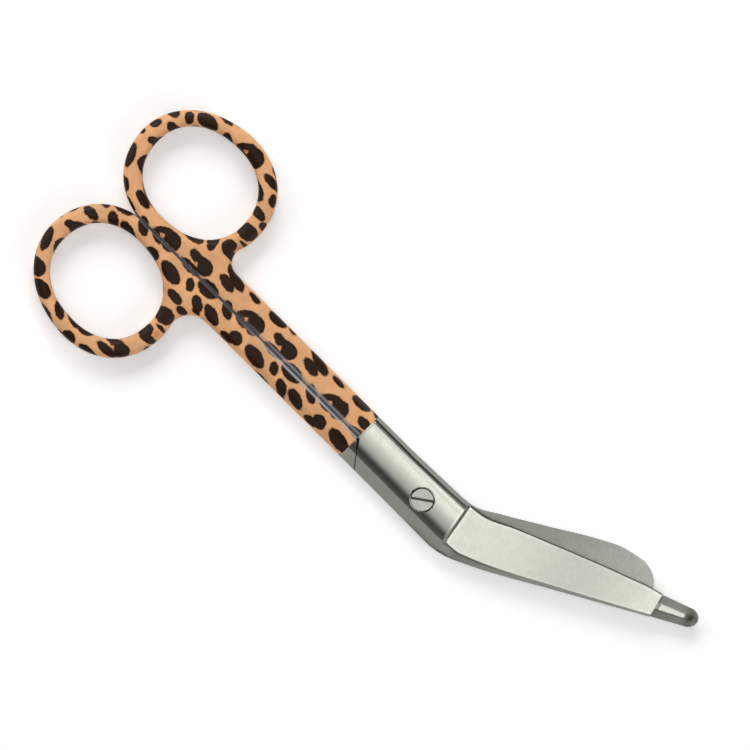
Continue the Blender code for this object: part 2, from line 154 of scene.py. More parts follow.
# a half's own frame to the object's: the front half is lifted, the back one is turned over about X first
def toObject(points, side):
    points = np.array(points, float)
    if side == "back":
        points[..., 1] *= -1
        points[..., 2] *= -1
    points[..., 2] += body["halfThickness"]
    return points


weldGap = 2e-7  # metres
sharpAngle = 28  # degrees from which an edge stays sharp


# puts points in mm and faces into a mesh, welds it, turns its faces outwards and smooths it
def makePiece(name, points, faces, layers, material, bodyName, slotName, nodes, uv=None, sharp=sharpAngle):
    mesh = bpy.data.meshes.new(name)
    mesh.from_pydata((points * mm).tolist(), [], [list(f) for f in faces])
    for label, values in layers.items():
        layer = mesh.attributes.new(label, "FLOAT", "POINT")
        layer.data.foreach_set("value", np.asarray(values, np.float32).ravel())
    if uv is not None:
        layer = mesh.uv_layers.new(name="printMap")
        corner = np.empty(len(mesh.loops), int)
        mesh.loops.foreach_get("vertex_index", corner)
        layer.data.foreach_set("uv", uv[corner].astype(np.float32).ravel())
    shape = bmesh.new()
    shape.from_mesh(mesh)
    bmesh.ops.remove_doubles(shape, verts=shape.verts, dist=weldGap)
    bmesh.ops.dissolve_degenerate(shape, edges=shape.edges, dist=weldGap / 2)
    bmesh.ops.recalc_face_normals(shape, faces=shape.faces)
    openEdges = sum(1 for edge in shape.edges if not edge.is_manifold)
    shape.to_mesh(mesh)
    shape.free()
    mesh.shade_smooth()
    mesh.set_sharp_from_angle(angle=math.radians(sharp))
    piece = bpy.data.objects.new(name, mesh)
    bpy.context.scene.collection.objects.link(piece)
    mesh.materials.append(material)
    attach(piece, bodyName)
    if nodes:
        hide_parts(*nodes)
    print("piece", name, len(mesh.polygons), "faces, open edges", openEdges)
    return piece


# applies a Boolean cut with a round tool along Z: centre at the pivot, radius and heights in mm
def boreRound(piece, radius, low, high, segments=96):
    turn = np.linspace(0, 2 * math.pi, segments, endpoint=False)
    ring = np.column_stack([radius * np.cos(turn), radius * np.sin(turn)])
    points = np.vstack([np.column_stack([ring, np.full(segments, z)]) for z in (low, high)])
    mesh = bpy.data.meshes.new("boreTool")
    mesh.from_pydata((points * mm).tolist(), [], tubeFaces(2, segments))
    shape = bmesh.new()
    shape.from_mesh(mesh)
    bmesh.ops.recalc_face_normals(shape, faces=shape.faces)
    shape.to_mesh(mesh)
    shape.free()
    tool = bpy.data.objects.new("boreTool", mesh)
    bpy.context.scene.collection.objects.link(tool)
    step = piece.modifiers.new("bore", "BOOLEAN")
    step.operation = "DIFFERENCE"
    step.solver = "EXACT"
    step.object = tool
    graph = bpy.context.evaluated_depsgraph_get()
    cut = bpy.data.meshes.new_from_object(piece.evaluated_get(graph))
    piece.modifiers.clear()
    piece.data = cut
    cut.shade_smooth()
    cut.set_sharp_from_angle(angle=math.radians(sharpAngle))
    bpy.data.objects.remove(tool)


# a node with its own properties and its inputs' values set by name
def addNode(tree, kind, **settings):
    node = tree.nodes.new(kind)
    for key, value in settings.items():
        if key in node.bl_rna.properties:
            setattr(node, key, value)
        else:
            node.inputs[key].default_value = value
    return node


def newGroup(name, inputs, outputs):
    group = bpy.data.node_groups.new(name, "ShaderNodeTree")
    for label, kind, value in inputs:
        socket = group.interface.new_socket(label, in_out="INPUT", socket_type=kind)
        if value is not None:
            socket.default_value = value
    for label, kind in outputs:
        group.interface.new_socket(label, in_out="OUTPUT", socket_type=kind)
    return group, group.nodes.new("NodeGroupInput"), group.nodes.new("NodeGroupOutput")


def newMaterial(name, **sockets):
    material = bpy.data.materials.new(name)
    material.use_nodes = True
    shader = material.node_tree.nodes["Principled BSDF"]
    for key, value in sockets.items():
        shader.inputs[key.replace("_", " ")].default_value = value
    return material, material.node_tree, shader


# links an output to an input, or sets the input's value
def feed(tree, socket, value):
    if isinstance(value, bpy.types.NodeSocket):
        tree.links.new(value, socket)
    else:
        socket.default_value = value


def maths(tree, operation, *values, clamp=False):
    node = addNode(tree, "ShaderNodeMath", operation=operation, use_clamp=clamp)
    for socket, value in zip(node.inputs, values):
        feed(tree, socket, value)
    return node.outputs[0]


def vectors(tree, operation, *values, scale=None):
    node = addNode(tree, "ShaderNodeVectorMath", operation=operation)
    for socket, value in zip(node.inputs, values):
        feed(tree, socket, value)
    if scale is not None:
        feed(tree, node.inputs["Scale"], scale)
    return node.outputs["Value" if operation == "LENGTH" else "Vector"]


def noiseAt(tree, place, scale, detail, rough=0.5):
    node = addNode(tree, "ShaderNodeTexNoise", Detail=detail, Roughness=rough)
    feed(tree, node.inputs["Vector"], place)
    feed(tree, node.inputs["Scale"], scale)
    return node


# a value carried from one range to another and held inside it
def ranged(tree, value, source, target, smooth=False):
    kind = "SMOOTHSTEP" if smooth else "LINEAR"
    node = addNode(tree, "ShaderNodeMapRange", interpolation_type=kind)
    for socket, number in zip(node.inputs, (value, *source, *target)):
        feed(tree, socket, number)
    return node.outputs["Result"]


# one colour laid over another by a factor
def mixed(tree, factor, under, over):
    node = addNode(tree, "ShaderNodeMix", data_type="RGBA")
    for i, value in ((0, factor), (6, under), (7, over)):
        feed(tree, node.inputs[i], value)
    return node.outputs[2]


# bump from a height, by its strength and its depth in mm
def addBump(tree, shader, height, strength, depth):
    relief = addNode(tree, "ShaderNodeBump", Strength=strength, Distance=depth * mm)
    tree.links.new(height, relief.inputs["Height"])
    tree.links.new(relief.outputs["Normal"], shader.inputs["Normal"])


# Spots of one repeat of the print in mm: centre, half length, half width, and turn in degrees
printPattern = {
    "repeat": (21.8, 21.68),
    "spots": [
        (3.2, 18.5, 2.45, 1.3, -12), (4.95, 0.1, 2.15, 0.8, 0), (7.3, 19.45, 1.2, 0.8, -46),
        (6.85, 15.9, 1.65, 0.88, -3), (3.5, 14.4, 1.1, 0.8, 62), (2.6, 11.6, 0.7, 0.5, 0),
        (7.9, 12.1, 2.2, 1.48, 5), (5.5, 11.75, 0.95, 0.66, 33), (9.65, 14.9, 1.15, 0.7, 0),
        (9.4, 10.0, 1.1, 0.32, 0), (7.4, 7.8, 1.4, 1.3, 76), (8.9, 6.95, 1.8, 0.72, 11),
        (4.3, 6.9, 2.3, 1.05, -64), (1.45, 4.8, 2.0, 1.1, 4), (7.1, 1.9, 1.55, 1.42, -22),
        (4.45, 2.3, 1.5, 0.85, -10), (6.35, 2.35, 1.45, 0.9, -10), (10.2, 21.25, 2.2, 1.38, 0),
        (11.9, 2.8, 1.85, 0.9, -12), (12.4, 4.7, 2.65, 1.05, -21), (17.45, 4.5, 1.35, 0.55, -5),
        (21.1, 0.9, 1.75, 1.85, 29), (18.6, 1.5, 1.65, 0.6, 36), (18.5, 21.45, 0.66, 1.5, 70),
        (16.05, 20.5, 1.0, 0.68, -36), (15.25, 21.15, 0.93, 1.48, 45), (20.15, 18.4, 1.4, 1.18, -11),
        (18.8, 17.3, 1.35, 0.82, 0), (14.05, 18.25, 2.05, 1.03, -20), (10.7, 17.9, 1.6, 0.93, -34),
        (11.6, 16.6, 0.8, 0.4, 0), (12.75, 13.65, 1.65, 1.1, -14), (17.0, 14.2, 1.7, 1.1, 20),
        (13.4, 9.6, 1.3, 1.9, 0), (16.9, 10.6, 2.0, 0.9, -30), (20.3, 12.0, 1.4, 0.9, 60),
        (12.2, 7.0, 1.1, 0.7, 0), (15.9, 7.3, 1.8, 0.8, 15), (19.6, 8.3, 1.5, 1.0, -20),
        (0.85, 9.3, 1.1, 0.85, 30), (1.15, 15.15, 1.0, 0.55, -16), (19.9, 15.0, 0.9, 0.5, 0),
    ],
    "centres": [
        (19.1, 0.6, 0.5, 0.45, 0), (5.35, 1.3, 0.45, 0.35, -12), (9.3, 8.6, 0.6, 0.9, 20),
        (16.9, 14.2, 0.7, 0.45, 20), (13.4, 9.4, 0.5, 0.9, 0),
    ],
    "blend": 0.3,  # softness where ellipses join
    "swell": 0.06,  # how far the ink runs out of them
    "edge": 0.08,  # half width of the ink's soft edge
    "opening": 0.12,  # softness where a centre opens the ink
    "centreEdge": 0.3,
    "centreDepth": 0.75,
    "rimSharpness": 4.0,  # for each mm
    "rimDepth": 0.55,
    # scale, detail and roughness of the noises that waver the edges and let the ground drift and fade
    "waver": (1.25, 4.0, 0.62),
    "drift": (0.2, 4.0, 0.6),
    "patches": (0.28, 4.0, 0.6),
}


# distance to the nearest of a list of ellipses, softly joined: each is the length of the turned and
# scaled offset less the half width; an ellipse that reaches over the repeat's border is drawn again on
# the other side
def spotField(group, place, spots):
    width, height = printPattern["repeat"]
    border = 0.6
    field = None
    for cx, cy, along, across, turn in spots:
        least = min(along, across)
        reach = max(along, across) + border
        xs = [cx] + [cx - width] * (cx + reach > width) + [cx + width] * (cx - reach < 0)
        ys = [cy] + [cy - height] * (cy + reach > height) + [cy + height] * (cy - reach < 0)
        for x, y in ((x, y) for x in xs for y in ys):
            turned = addNode(group, "ShaderNodeMapping", vector_type="TEXTURE")
            turned.inputs["Location"].default_value = (x, y, 0)
            turned.inputs["Rotation"].default_value = (0, 0, math.radians(turn))
            turned.inputs["Scale"].default_value = (along / least, across / least, 1)
            group.links.new(place, turned.inputs["Vector"])
            away = maths(group, "SUBTRACT", vectors(group, "LENGTH", turned.outputs[0]), least)
            field = away if field is None else maths(group, "SMOOTH_MIN", field, away, printPattern["blend"])
    return field


# the print: dark spots with brown rims and centres on a ground that drifts and fades
def leopardGroup():
    group, given, result = newGroup(
        "leopardPrint",
        [
            ("Place", "NodeSocketVector", None),
            ("Ground", "NodeSocketColor", (0.70, 0.37, 0.18, 1)),
            ("Spot", "NodeSocketColor", (0.027, 0.015, 0.011, 1)),
            ("Centre", "NodeSocketColor", (0.48, 0.17, 0.07, 1)),
            ("Rim", "NodeSocketColor", (0.30, 0.11, 0.04, 1)),
            ("Faded", "NodeSocketColor", (0.62, 0.40, 0.24, 1)),
            ("Waver", "NodeSocketFloat", 0.45),
        ],
        [("Color", "NodeSocketColor")],
    )
    pattern = printPattern
    place = given.outputs["Place"]
    waver = noiseAt(group, place, *pattern["waver"]).outputs["Color"]
    waver = vectors(group, "SUBTRACT", waver, (0.5, 0.5, 0.5))
    moved = vectors(group, "ADD", place, vectors(group, "SCALE", waver, scale=given.outputs["Waver"]))
    wrapped = vectors(group, "WRAP", moved, (*pattern["repeat"], 1), (0, 0, 0))
    flat = vectors(group, "MULTIPLY", wrapped, (1, 1, 0))
    centre = spotField(group, flat, pattern["centres"])
    field = spotField(group, flat, pattern["spots"])
    # a centre opens the ink round it
    field = maths(group, "SMOOTH_MAX", field, maths(group, "MULTIPLY", centre, -1.0), pattern["opening"])
    inkEdge = (pattern["swell"] + pattern["edge"], pattern["swell"] - pattern["edge"])
    spots = ranged(group, field, inkEdge, (0.0, 1.0), smooth=True)
    centreEdge = (pattern["centreEdge"], -pattern["centreEdge"])
    inner = ranged(group, centre, centreEdge, (0.0, pattern["centreDepth"]), smooth=True)
    # a brown rim where the ink thins out at a spot's edge
    rim = maths(group, "ABSOLUTE", field)
    rim = maths(group, "MULTIPLY_ADD", rim, -pattern["rimSharpness"], 1.0, clamp=True)
    rim = maths(group, "MULTIPLY", rim, pattern["rimDepth"])
    # the ground drifts between two depths of the same ink and is faded in patches
    depth = maths(group, "MULTIPLY_ADD", noiseAt(group, place, *pattern["drift"]).outputs["Fac"], 0.7, 0.65)
    colour = vectors(group, "SCALE", given.outputs["Ground"], scale=depth)
    patch = noiseAt(group, moved, *pattern["patches"]).outputs["Fac"]
    faded = maths(group, "MULTIPLY", maths(group, "MULTIPLY_ADD", patch, 5.0, -2.45, clamp=True), 0.75)
    for factor, over in ((faded, "Faded"), (inner, "Centre"), (rim, "Rim"), (spots, "Spot")):
        colour = mixed(group, factor, colour, given.outputs[over])
    group.links.new(colour, result.inputs["Color"])
    return group


# brushed grain: noise drawn out along one direction over faint clouds, darkened by the tone's painted shade
# and highlight, and dulled by it
def grainGroup():
    group, given, result = newGroup(
        "brushedGrain",
        [
            ("Tone", "NodeSocketFloat", 1.0),
            ("Turn", "NodeSocketFloat", 0.0),
            ("Fineness", "NodeSocketFloat", 7.0),
            ("Bright", "NodeSocketColor", (0.72, 0.73, 0.64, 1)),
            ("Dull", "NodeSocketColor", (0.66, 0.67, 0.59, 1)),
            ("Rough Low", "NodeSocketFloat", 0.24),
            ("Rough High", "NodeSocketFloat", 0.38),
        ],
        [("Color", "NodeSocketColor"), ("Roughness", "NodeSocketFloat"), ("Height", "NodeSocketFloat")],
    )
    place = group.nodes.new("ShaderNodeTexCoord").outputs["Object"]
    millimetres = vectors(group, "SCALE", place, scale=1 / mm)
    turned = addNode(group, "ShaderNodeVectorRotate", rotation_type="Z_AXIS")
    group.links.new(millimetres, turned.inputs["Vector"])
    group.links.new(given.outputs["Turn"], turned.inputs["Angle"])
    drawn = vectors(group, "MULTIPLY", turned.outputs[0], (1.0, 0.2, 1.0))
    streaks = noiseAt(group, drawn, given.outputs["Fineness"], 3.0, 0.7).outputs["Fac"]
    cloud = noiseAt(group, millimetres, 0.5, 4.0, 0.65).outputs["Fac"]
    blend = maths(group, "MULTIPLY_ADD", cloud, 0.3, maths(group, "MULTIPLY", streaks, 0.7))
    spread = ranged(group, blend, (0.35, 0.65), (0.0, 1.0))
    colour = mixed(group, spread, given.outputs["Dull"], given.outputs["Bright"])
    toned = vectors(group, "SCALE", colour, scale=given.outputs["Tone"])
    rough = ranged(group, blend, (0.3, 0.7), (given.outputs["Rough High"], given.outputs["Rough Low"]))
    dulled = maths(group, "MULTIPLY_ADD", given.outputs["Tone"], -0.25, 0.25, clamp=True)
    group.links.new(toned, result.inputs["Color"])
    group.links.new(maths(group, "ADD", rough, dulled), result.inputs["Roughness"])
    group.links.new(streaks, result.inputs["Height"])
    return group


leopard = leopardGroup()
grain = grainGroup()
print("shared groups made")


# bright and dull colour of the grain, roughness from bright to dull streaks, direction in degrees
steels = {
    "satinSteel": ((0.74, 0.75, 0.662), (0.64, 0.65, 0.575), (0.26, 0.272), -15),
    # greySteel is a rougher grind for the back half; its darker colour is painted shade for its darker
    # reflection
    "greySteel": ((0.665, 0.675, 0.602), (0.525, 0.535, 0.473), (0.34, 0.4), -15),
    "screwSteel": ((0.76, 0.77, 0.69), (0.62, 0.63, 0.56), (0.3, 0.38), 35),
}
grainLooks = {"fineness": 4.5, "bump": 0.5, "bumpDepth": 0.0007}


def steelMaterial(name):
    bright, dull, rough, turn = steels[name]
    material, tree, shader = newMaterial(name, Metallic=1.0)
    # the tone attribute lays painted shade and highlight, with some duller grinds, on the steel's colour
    tone = addNode(tree, "ShaderNodeAttribute", attribute_name="tone")
    use = addNode(tree, "ShaderNodeGroup", node_tree=grain)
    values = {
        "Tone": tone.outputs["Fac"],
        "Turn": math.radians(turn),
        "Fineness": grainLooks["fineness"],
        "Bright": (*bright, 1),
        "Dull": (*dull, 1),
        "Rough Low": rough[0],
        "Rough High": rough[1],
    }
    for key, value in values.items():
        feed(tree, use.inputs[key], value)
    tree.links.new(use.outputs["Color"], shader.inputs["Base Color"])
    tree.links.new(use.outputs["Roughness"], shader.inputs["Roughness"])
    addBump(tree, shader, use.outputs["Height"], grainLooks["bump"], grainLooks["bumpDepth"])
    return material


printInks = {
    "Ground": (0.86, 0.44, 0.205, 1),
    "Spot": (0.022, 0.007, 0.0015, 1),
    "Centre": (0.66, 0.25, 0.10, 1),
    "Rim": (0.34, 0.12, 0.045, 1),
    "Faded": (0.68, 0.425, 0.235, 1),
    "Waver": 0.68,
}
lacquer = {
    "worn": (0.98, 0.98, 1.04),  # tint of the grey painted along the parting edges as reflection and shadow
    "rough": (0.34, 0.48),
    "bump": 0.3,
    "bumpDepth": 0.02,
}


def printMaterial(name):
    material, tree, shader = newMaterial(name, Specular_IOR_Level=0.2)
    place = addNode(tree, "ShaderNodeUVMap", uv_map="printMap").outputs["UV"]
    use = addNode(tree, "ShaderNodeGroup", node_tree=leopard)
    for key, value in {"Place": place, **printInks}.items():
        feed(tree, use.inputs[key], value)
    # the parting edges are painted with a grey line of reflection and a dark strip of shadow in the gap
    worn = addNode(tree, "ShaderNodeAttribute", attribute_name="worn")
    wornGrey = addNode(tree, "ShaderNodeAttribute", attribute_name="wornGrey")
    paintedGreyLine = vectors(tree, "SCALE", lacquer["worn"], scale=wornGrey.outputs["Fac"])
    colour = mixed(tree, worn.outputs["Fac"], use.outputs["Color"], paintedGreyLine)
    tree.links.new(colour, shader.inputs["Base Color"])
    # the lacquer is slightly uneven
    uneven = noiseAt(tree, place, 2.2, 3.0).outputs["Fac"]
    tree.links.new(ranged(tree, uneven, (0.3, 0.7), lacquer["rough"]), shader.inputs["Roughness"])
    addBump(tree, shader, uneven, lacquer["bump"], lacquer["bumpDepth"])
    return material


steelTop, steelBack, steelScrew = (steelMaterial(name) for name in steels)
frontPrint = printMaterial("frontLeopardLacquer")
backPrint = printMaterial("backLeopardLacquer")


crown = {
    "landOut": 1.75,  # all measured inwards from the outer edge
    "landIn": 3.35,
    "narrowFlank": 0.92,
    "wideFlank": 2.35,
    "narrowRoll": 0.15,
    "wideRoll": 0.5,
    "narrowEdge": 0.9,
    "wideEdge": 0.15,
    "rollPower": 2.6,
    "narrowRound": 0.45,  # width over which a crease is rounded
    "wideRound": 0.1,
}


# how light each surface is painted beside polished steel; flanks and strip: duller grinds plus painted shade
# edge: painted shade on walls, steps and the slot; bevel: painted shadow between the blades; the darkest
# tone: painted shade in gaps and recesses
tones = {"flank": 0.72, "narrowFlank": 0.4, "strip": 0.36, "recessShade": 0.05, "edge": 0.38, "bevel": 0.1}
# and across the crown's top, by the distance from its wide crease: painted shade and highlight for its
# reflection, a dark roll that pales outwards
crownShades = [
    (0.0, 0.4), (0.33, 0.26), (0.67, 0.16), (1.0, 0.14), (1.33, 0.26), (1.66, 0.57), (2.0, 0.77),
    (2.35, 0.77), (2.7, 0.76), (3.0, 0.76), (3.4, 0.785), (4.0, 0.83), (4.3, 0.88), (4.65, 0.92),
    (5.0, 0.955), (5.4, 0.965), (5.65, 0.92), (6.0, 0.88), (6.3, 1.0),
]


# height over the mating plane at a distance in from the outer edge, on a section of a given width: the
# least of land - roll drop * t^power, the narrow flank's plane and the wide flank's; along a shank they
# fade and move outwards
def crownHeight(inwards, width, fade=0.0, narrowShift=0.0, wideShift=0.0):
    top = body["halfThickness"]
    creaseIn = width - crown["wideFlank"]
    rollOut = np.clip((crown["landOut"] - inwards) / (crown["landOut"] - crown["narrowFlank"]), 0, 1)
    rollIn = np.clip((inwards - crown["landIn"]) / (creaseIn - crown["landIn"]), 0, 1)
    power = crown["rollPower"]
    drop = crown["narrowRoll"] * rollOut**power + crown["wideRoll"] * rollIn**power
    narrowSlope = (top - crown["narrowRoll"] - crown["narrowEdge"]) / crown["narrowFlank"]
    wideSlope = (top - crown["wideRoll"] - crown["wideEdge"]) / crown["wideFlank"]
    narrow = crown["narrowEdge"] + narrowSlope * (inwards + narrowShift)
    wide = crown["wideEdge"] + wideSlope * (width - inwards + wideShift)
    return np.minimum(np.minimum(top - drop * (1 - fade), narrow), wide)


# the same with its creases rounded: the mean of the height over a short width, less at the wide flank
def roundedCrown(inwards, width, **moved):
    inwards, width = np.broadcast_arrays(np.asarray(inwards, float), np.asarray(width, float))
    room = np.where(inwards < width / 2, crown["narrowRound"], crown["wideRound"])
    room = np.minimum(room, 2 * np.abs(np.minimum(inwards, width - inwards)))
    steps = np.linspace(-0.5, 0.5, 15)
    return np.mean([crownHeight(inwards + room * s, width, **moved) for s in steps], axis=0)


# how light the steel is painted at each point of the crown: painted shade and highlight across its top, a
# duller grind with painted shade on the flanks, and a painted dark line of shade along the narrow crease
def crownTone(inwards, width, lineDepth=0.93):
    inwards, width = np.broadcast_arrays(np.asarray(inwards, float), np.asarray(width, float))
    creaseIn = width - crown["wideFlank"]
    onNarrow = 1 - ease(crown["narrowFlank"] - 0.3, crown["narrowFlank"] + 0.1, inwards)
    onWide = ease(creaseIn - 0.02, creaseIn + 0.14, inwards)
    line = ease(0.55, 0.7, inwards) * (1 - ease(0.96, 1.1, inwards))
    top = tableAt(crownShades, creaseIn - inwards)
    tone = towards(towards(top, tones["narrowFlank"], onNarrow), tones["flank"], onWide)
    return tone * (1 - lineDepth * line)


# the chamfer along the parting line: a straight slope
def partingDrop(fromParting):
    return body["partingDepth"] * np.clip(1 - fromParting / body["partingChamfer"], 0, 1)


# how far the steel lies under the coating's end
def underCoat(x):
    return body["coatOver"] * (1 - ease(-16.3, -16.0, x))


# top of the parting chamfer of the steel at a distance from the parting line
def chamferTop(fromParting):
    return body["halfThickness"] - partingDrop(fromParting) - body["partingDulled"]


# distances of the grid's rows in from the outer edge: close together at the creases
rowsOuter = np.concatenate([np.linspace(0, 0.6, 5), np.linspace(0.7, 1.4, 15), np.linspace(1.6, 3.2, 9)])
rowsInner = np.concatenate([np.linspace(2.6, 2.42, 3), np.linspace(2.4, 2.3, 5), np.linspace(2.1, 0, 8)])
middleRows = 22


# rows for every rib: some from the outer edge, some from the inner edge, the rest evenly between
def rowPlaces(width, outerScale, innerScale):
    width = np.asarray(width, float)[:, None]
    outer = rowsOuter * outerScale[:, None]
    inner = width - rowsInner * innerScale[:, None]
    t = np.linspace(0, 1, middleRows + 2)[1:-1]
    middle = outer[:, -1:] + (inner[:, :1] - outer[:, -1:]) * t
    return np.concatenate([outer, middle, inner], axis=1)


blade = {
    "faceRoot": 2.0,
    "faceTip": {"front": 1.75, "back": 1.3},
    "relief": 0.05,
    "edge": [
        (4, 5.55), (7.5, 5.64), (11, 6.38), (15, 8.12), (21, 10.55), (28, 13.39), (33, 15.36), (37, 16.87),
        (41, 18.36), (43.6, 19.05),
    ],
    "spine": [(4, -5.02), (8, -4.95), (11, -4.15), (14, -2.8), (30, 6.0), (44.8, 14.3)],
    "backSpine": [(5, 5.5), (8, 6.0), (12, 8.25), (20, 13.0), (28, 17.8), (32, 19.8), (36.8, 20.95)],
    "frontEnd": 43.6,
    "frontEndSlant": 1.2,
    "backEnd": 42.2,
    "backStraight": 20.0,  # from here on the back blade's ribs stand square to X
    "overlap": 2.0,
    "leastWidth": 0.5,
    "heel": 13.0,
    "edgeRows": 0.35,  # scale of the outer rows beside the lap's
    "stripRoot": 1.75,
    "stripTip": 0.3,
    "stripFall": 17.5,
    "widestStrip": 0.4,  # of the back blade's width, where its end narrows
    "bevel": 0.14,
    "heelBevel": 0.26,
    "endBevel": 0.1,
    "groove": 0.12,  # at the step's foot
    "grooveWidth": 0.09,
    "leastHeight": 0.1,
}


# the ground strip along the spine narrows towards the tip as an exponential
def stripWidth(x):
    run = np.maximum(x - 9, 0) / blade["stripFall"]
    return blade["stripTip"] + (blade["stripRoot"] - blade["stripTip"]) * np.exp(-run)


# painted shade and highlight along a lap, as x and value pairs
lapShades = {
    # how far the narrow crease moves in mm, and how deep the painted dark line of shade on it is
    "creaseShift": [(-9, -0.05), (-6, -0.15), (2.5, -0.15), (6, 0.0)],
    "lineDepth": [(-3, 0.95), (0, 0.93), (3, 0.87), (6, 0.82)],
    # the painted dark roll of shade by the wide crease lightens to the bend
    "roll": [(-14, 0.9), (-7, 0.96), (-4, 1.0), (3.5, 1.2), (5.5, 1.28)],
    "rollPlace": 0.9,  # from the wide crease
    "rollWidth": 0.6,
    "edge": 0.42,  # how much painted shade darkens the wide flank at its edge
    "edgeFall": 0.75,
    "lastStrip": 1.06,
    "lastStripWidth": 0.16,
    "wallWidth": 0.12,
}


# ribs of a lap between its outer and inner edge: plan points, distances in, heights, tones, reach
def lapRibs(side):
    half = halves[side]
    end = body["jointEnd"] - body["endSlope"]
    shoulder, shoulderEnd = body["shoulderStart"], body["shoulderEnd"]
    x = np.concatenate([
        np.linspace(body["steelStart"], shoulder - 0.02, 6),
        np.linspace(shoulder, shoulderEnd - 0.1, 32),
        np.linspace(shoulderEnd + 0.1, end - 0.5, 90),
        end - np.array([0.36, 0.24, 0.12, 0.04, 0.0]),
    ])
    grow = np.clip((x - body["swellFrom"]) / (body["jointEnd"] - body["swellFrom"]), 0, 1)
    outerY = half["reach"] + half["swell"] * grow
    innerY = -half["innerReach"] - half["innerSwell"] * grow
    innerX = x + body["endSlant"] * grow * (outerY - innerY)
    # past the bend the inner edge is the blade's spine
    spine, turn = (blade["spine"], 1) if side == "front" else (blade["backSpine"], -1)
    first = spine[0][0]
    innerY = np.where(innerX > first, turn * lineThrough(spine, np.maximum(innerX, first)), innerY)
    outer = np.column_stack([x, outerY])
    inner = np.column_stack([innerX, innerY])
    width = np.linalg.norm(inner - outer, axis=1)
    rows = rowPlaces(width, np.ones(len(x)), np.ones(len(x)))
    x, outerY, width = x[:, None], outerY[:, None], width[:, None]
    under = underCoat(x)
    shift = tableAt(lapShades["creaseShift"], x)
    height = roundedCrown(rows, width, narrowShift=shift) - under
    chamfered = np.minimum(height, chamferTop(outerY - rows - half["parting"]))
    height = np.where(x < body["coatEnd"] - 0.02, chamfered, height)
    # the shoulder: ribs stop at the parting line, then at the slanted line, where the gap narrows
    gap = body["shoulderGap"] + body["shoulderWider"] * (1 - ease(shoulder, shoulder + 2.9, x))
    wall = half["parting"] - np.maximum(x - shoulder - gap, 0) / body["shoulderRun"]
    stop = np.where(x < shoulderEnd, outerY - wall, 1e3) - under
    reach = np.minimum(stop, width)
    height = np.where(rows > stop, roundedCrown(reach, width) - under, height)
    stopped = np.clip(rows, under, stop)
    # painted shade and highlight: the crown's tones, the dark line on the narrow crease and the dark roll by
    # the wide one
    tone = crownTone(rows + shift, width + shift, tableAt(lapShades["lineDepth"], x))
    fromEdge = width - rows
    roll = bell(fromEdge, crown["wideFlank"] + lapShades["rollPlace"], lapShades["rollWidth"])
    tone = tone * towards(1, tableAt(lapShades["roll"], x), roll)
    # past the bend painted shade darkens the flank towards its edge, and a painted highlight lights the
    # front crown's last strip
    tone = tone * (1 - lapShades["edge"] * ease(-3, 3, x) * np.exp(-fromEdge / lapShades["edgeFall"]))
    if side == "front":
        lastStrip = bell(x, end - 0.12, lapShades["lastStripWidth"]) * ease(2.6, 3.4, fromEdge)
        lastStrip = lastStrip * (rows > 1.2)
        tone = towards(tone, lapShades["lastStrip"], lastStrip)
    # the shoulder's wall is painted dark as shade in the gap
    byWall = (x < shoulderEnd) & (np.abs(stopped - reach) < lapShades["wallWidth"])
    return outer, inner, stopped, height, np.where(byWall, tones["edge"], tone), reach[:, 0]


# joins ribs into one closed surface: top rows, then the two bottom corners, in the flank's tone
def ribSurface(outer, inner, rows, height, tone, reach, low):
    ahead = (inner - outer) / np.linalg.norm(inner - outer, axis=1)[:, None]
    top = np.dstack([outer[:, None, :] + ahead[:, None, :] * rows[..., None], height[..., None]])
    farBottom = np.column_stack([outer + ahead * reach[:, None], low])[:, None, :]
    nearBottom = np.column_stack([outer, low])[:, None, :]
    ring = np.concatenate([top, farBottom, nearBottom], axis=1)
    below = np.full((len(ring), 2), tones["flank"])
    return ring.reshape(-1, 3), tubeFaces(*ring.shape[:2]), {"tone": np.concatenate([tone, below], axis=1)}


# a lap's ribs, the step down to the blade and the blade's ribs, as one surface
def joinBlade(lap, outer, inner, rows, height, tone, stepTone, low):
    *lapParts, lapTone, reach = lap
    t = np.array([0.15, 0.5, 0.85])[:, None]
    joined = [
        np.vstack([before, towards(before[-1], after[0], t), after])
        for before, after in zip(lapParts, (outer, inner, rows, height))
    ]
    joined.append(np.vstack([lapTone, np.repeat(stepTone[None], len(t), axis=0), tone]))
    reach = np.concatenate([reach, joined[2][len(reach):, -1]])
    lows = np.full(len(reach), low)
    lows[:-len(outer)] = body["matingGap"]
    return ribSurface(*joined, reach, lows)


# painted shade and highlight of the front blade; places and widths in mm
bladeShades = {
    "face": 0.91,
    "middle": -0.105,  # the face is painted darker in its middle and lighter at its end, as its reflection
    "end": 0.05,
    "rim": 0.07,
    "rimAtStrip": 0.22,
    "rimAtBevel": 0.25,
    "rimWidth": 0.15,
    "underFace": 0.62,  # a painted dark line of shade on the strip, under the face
    "underFacePlace": 0.16,
    "underFaceWidth": 0.24,
    "atEdge": 0.4,
    "edgeFall": 0.5,
    "heelBevel": 0.05,
    "endBevel": 0.24,
    "footLight": 0.08,
    "cornerRadius": 0.75,  # at the bend
    "corner": 0.42,
}


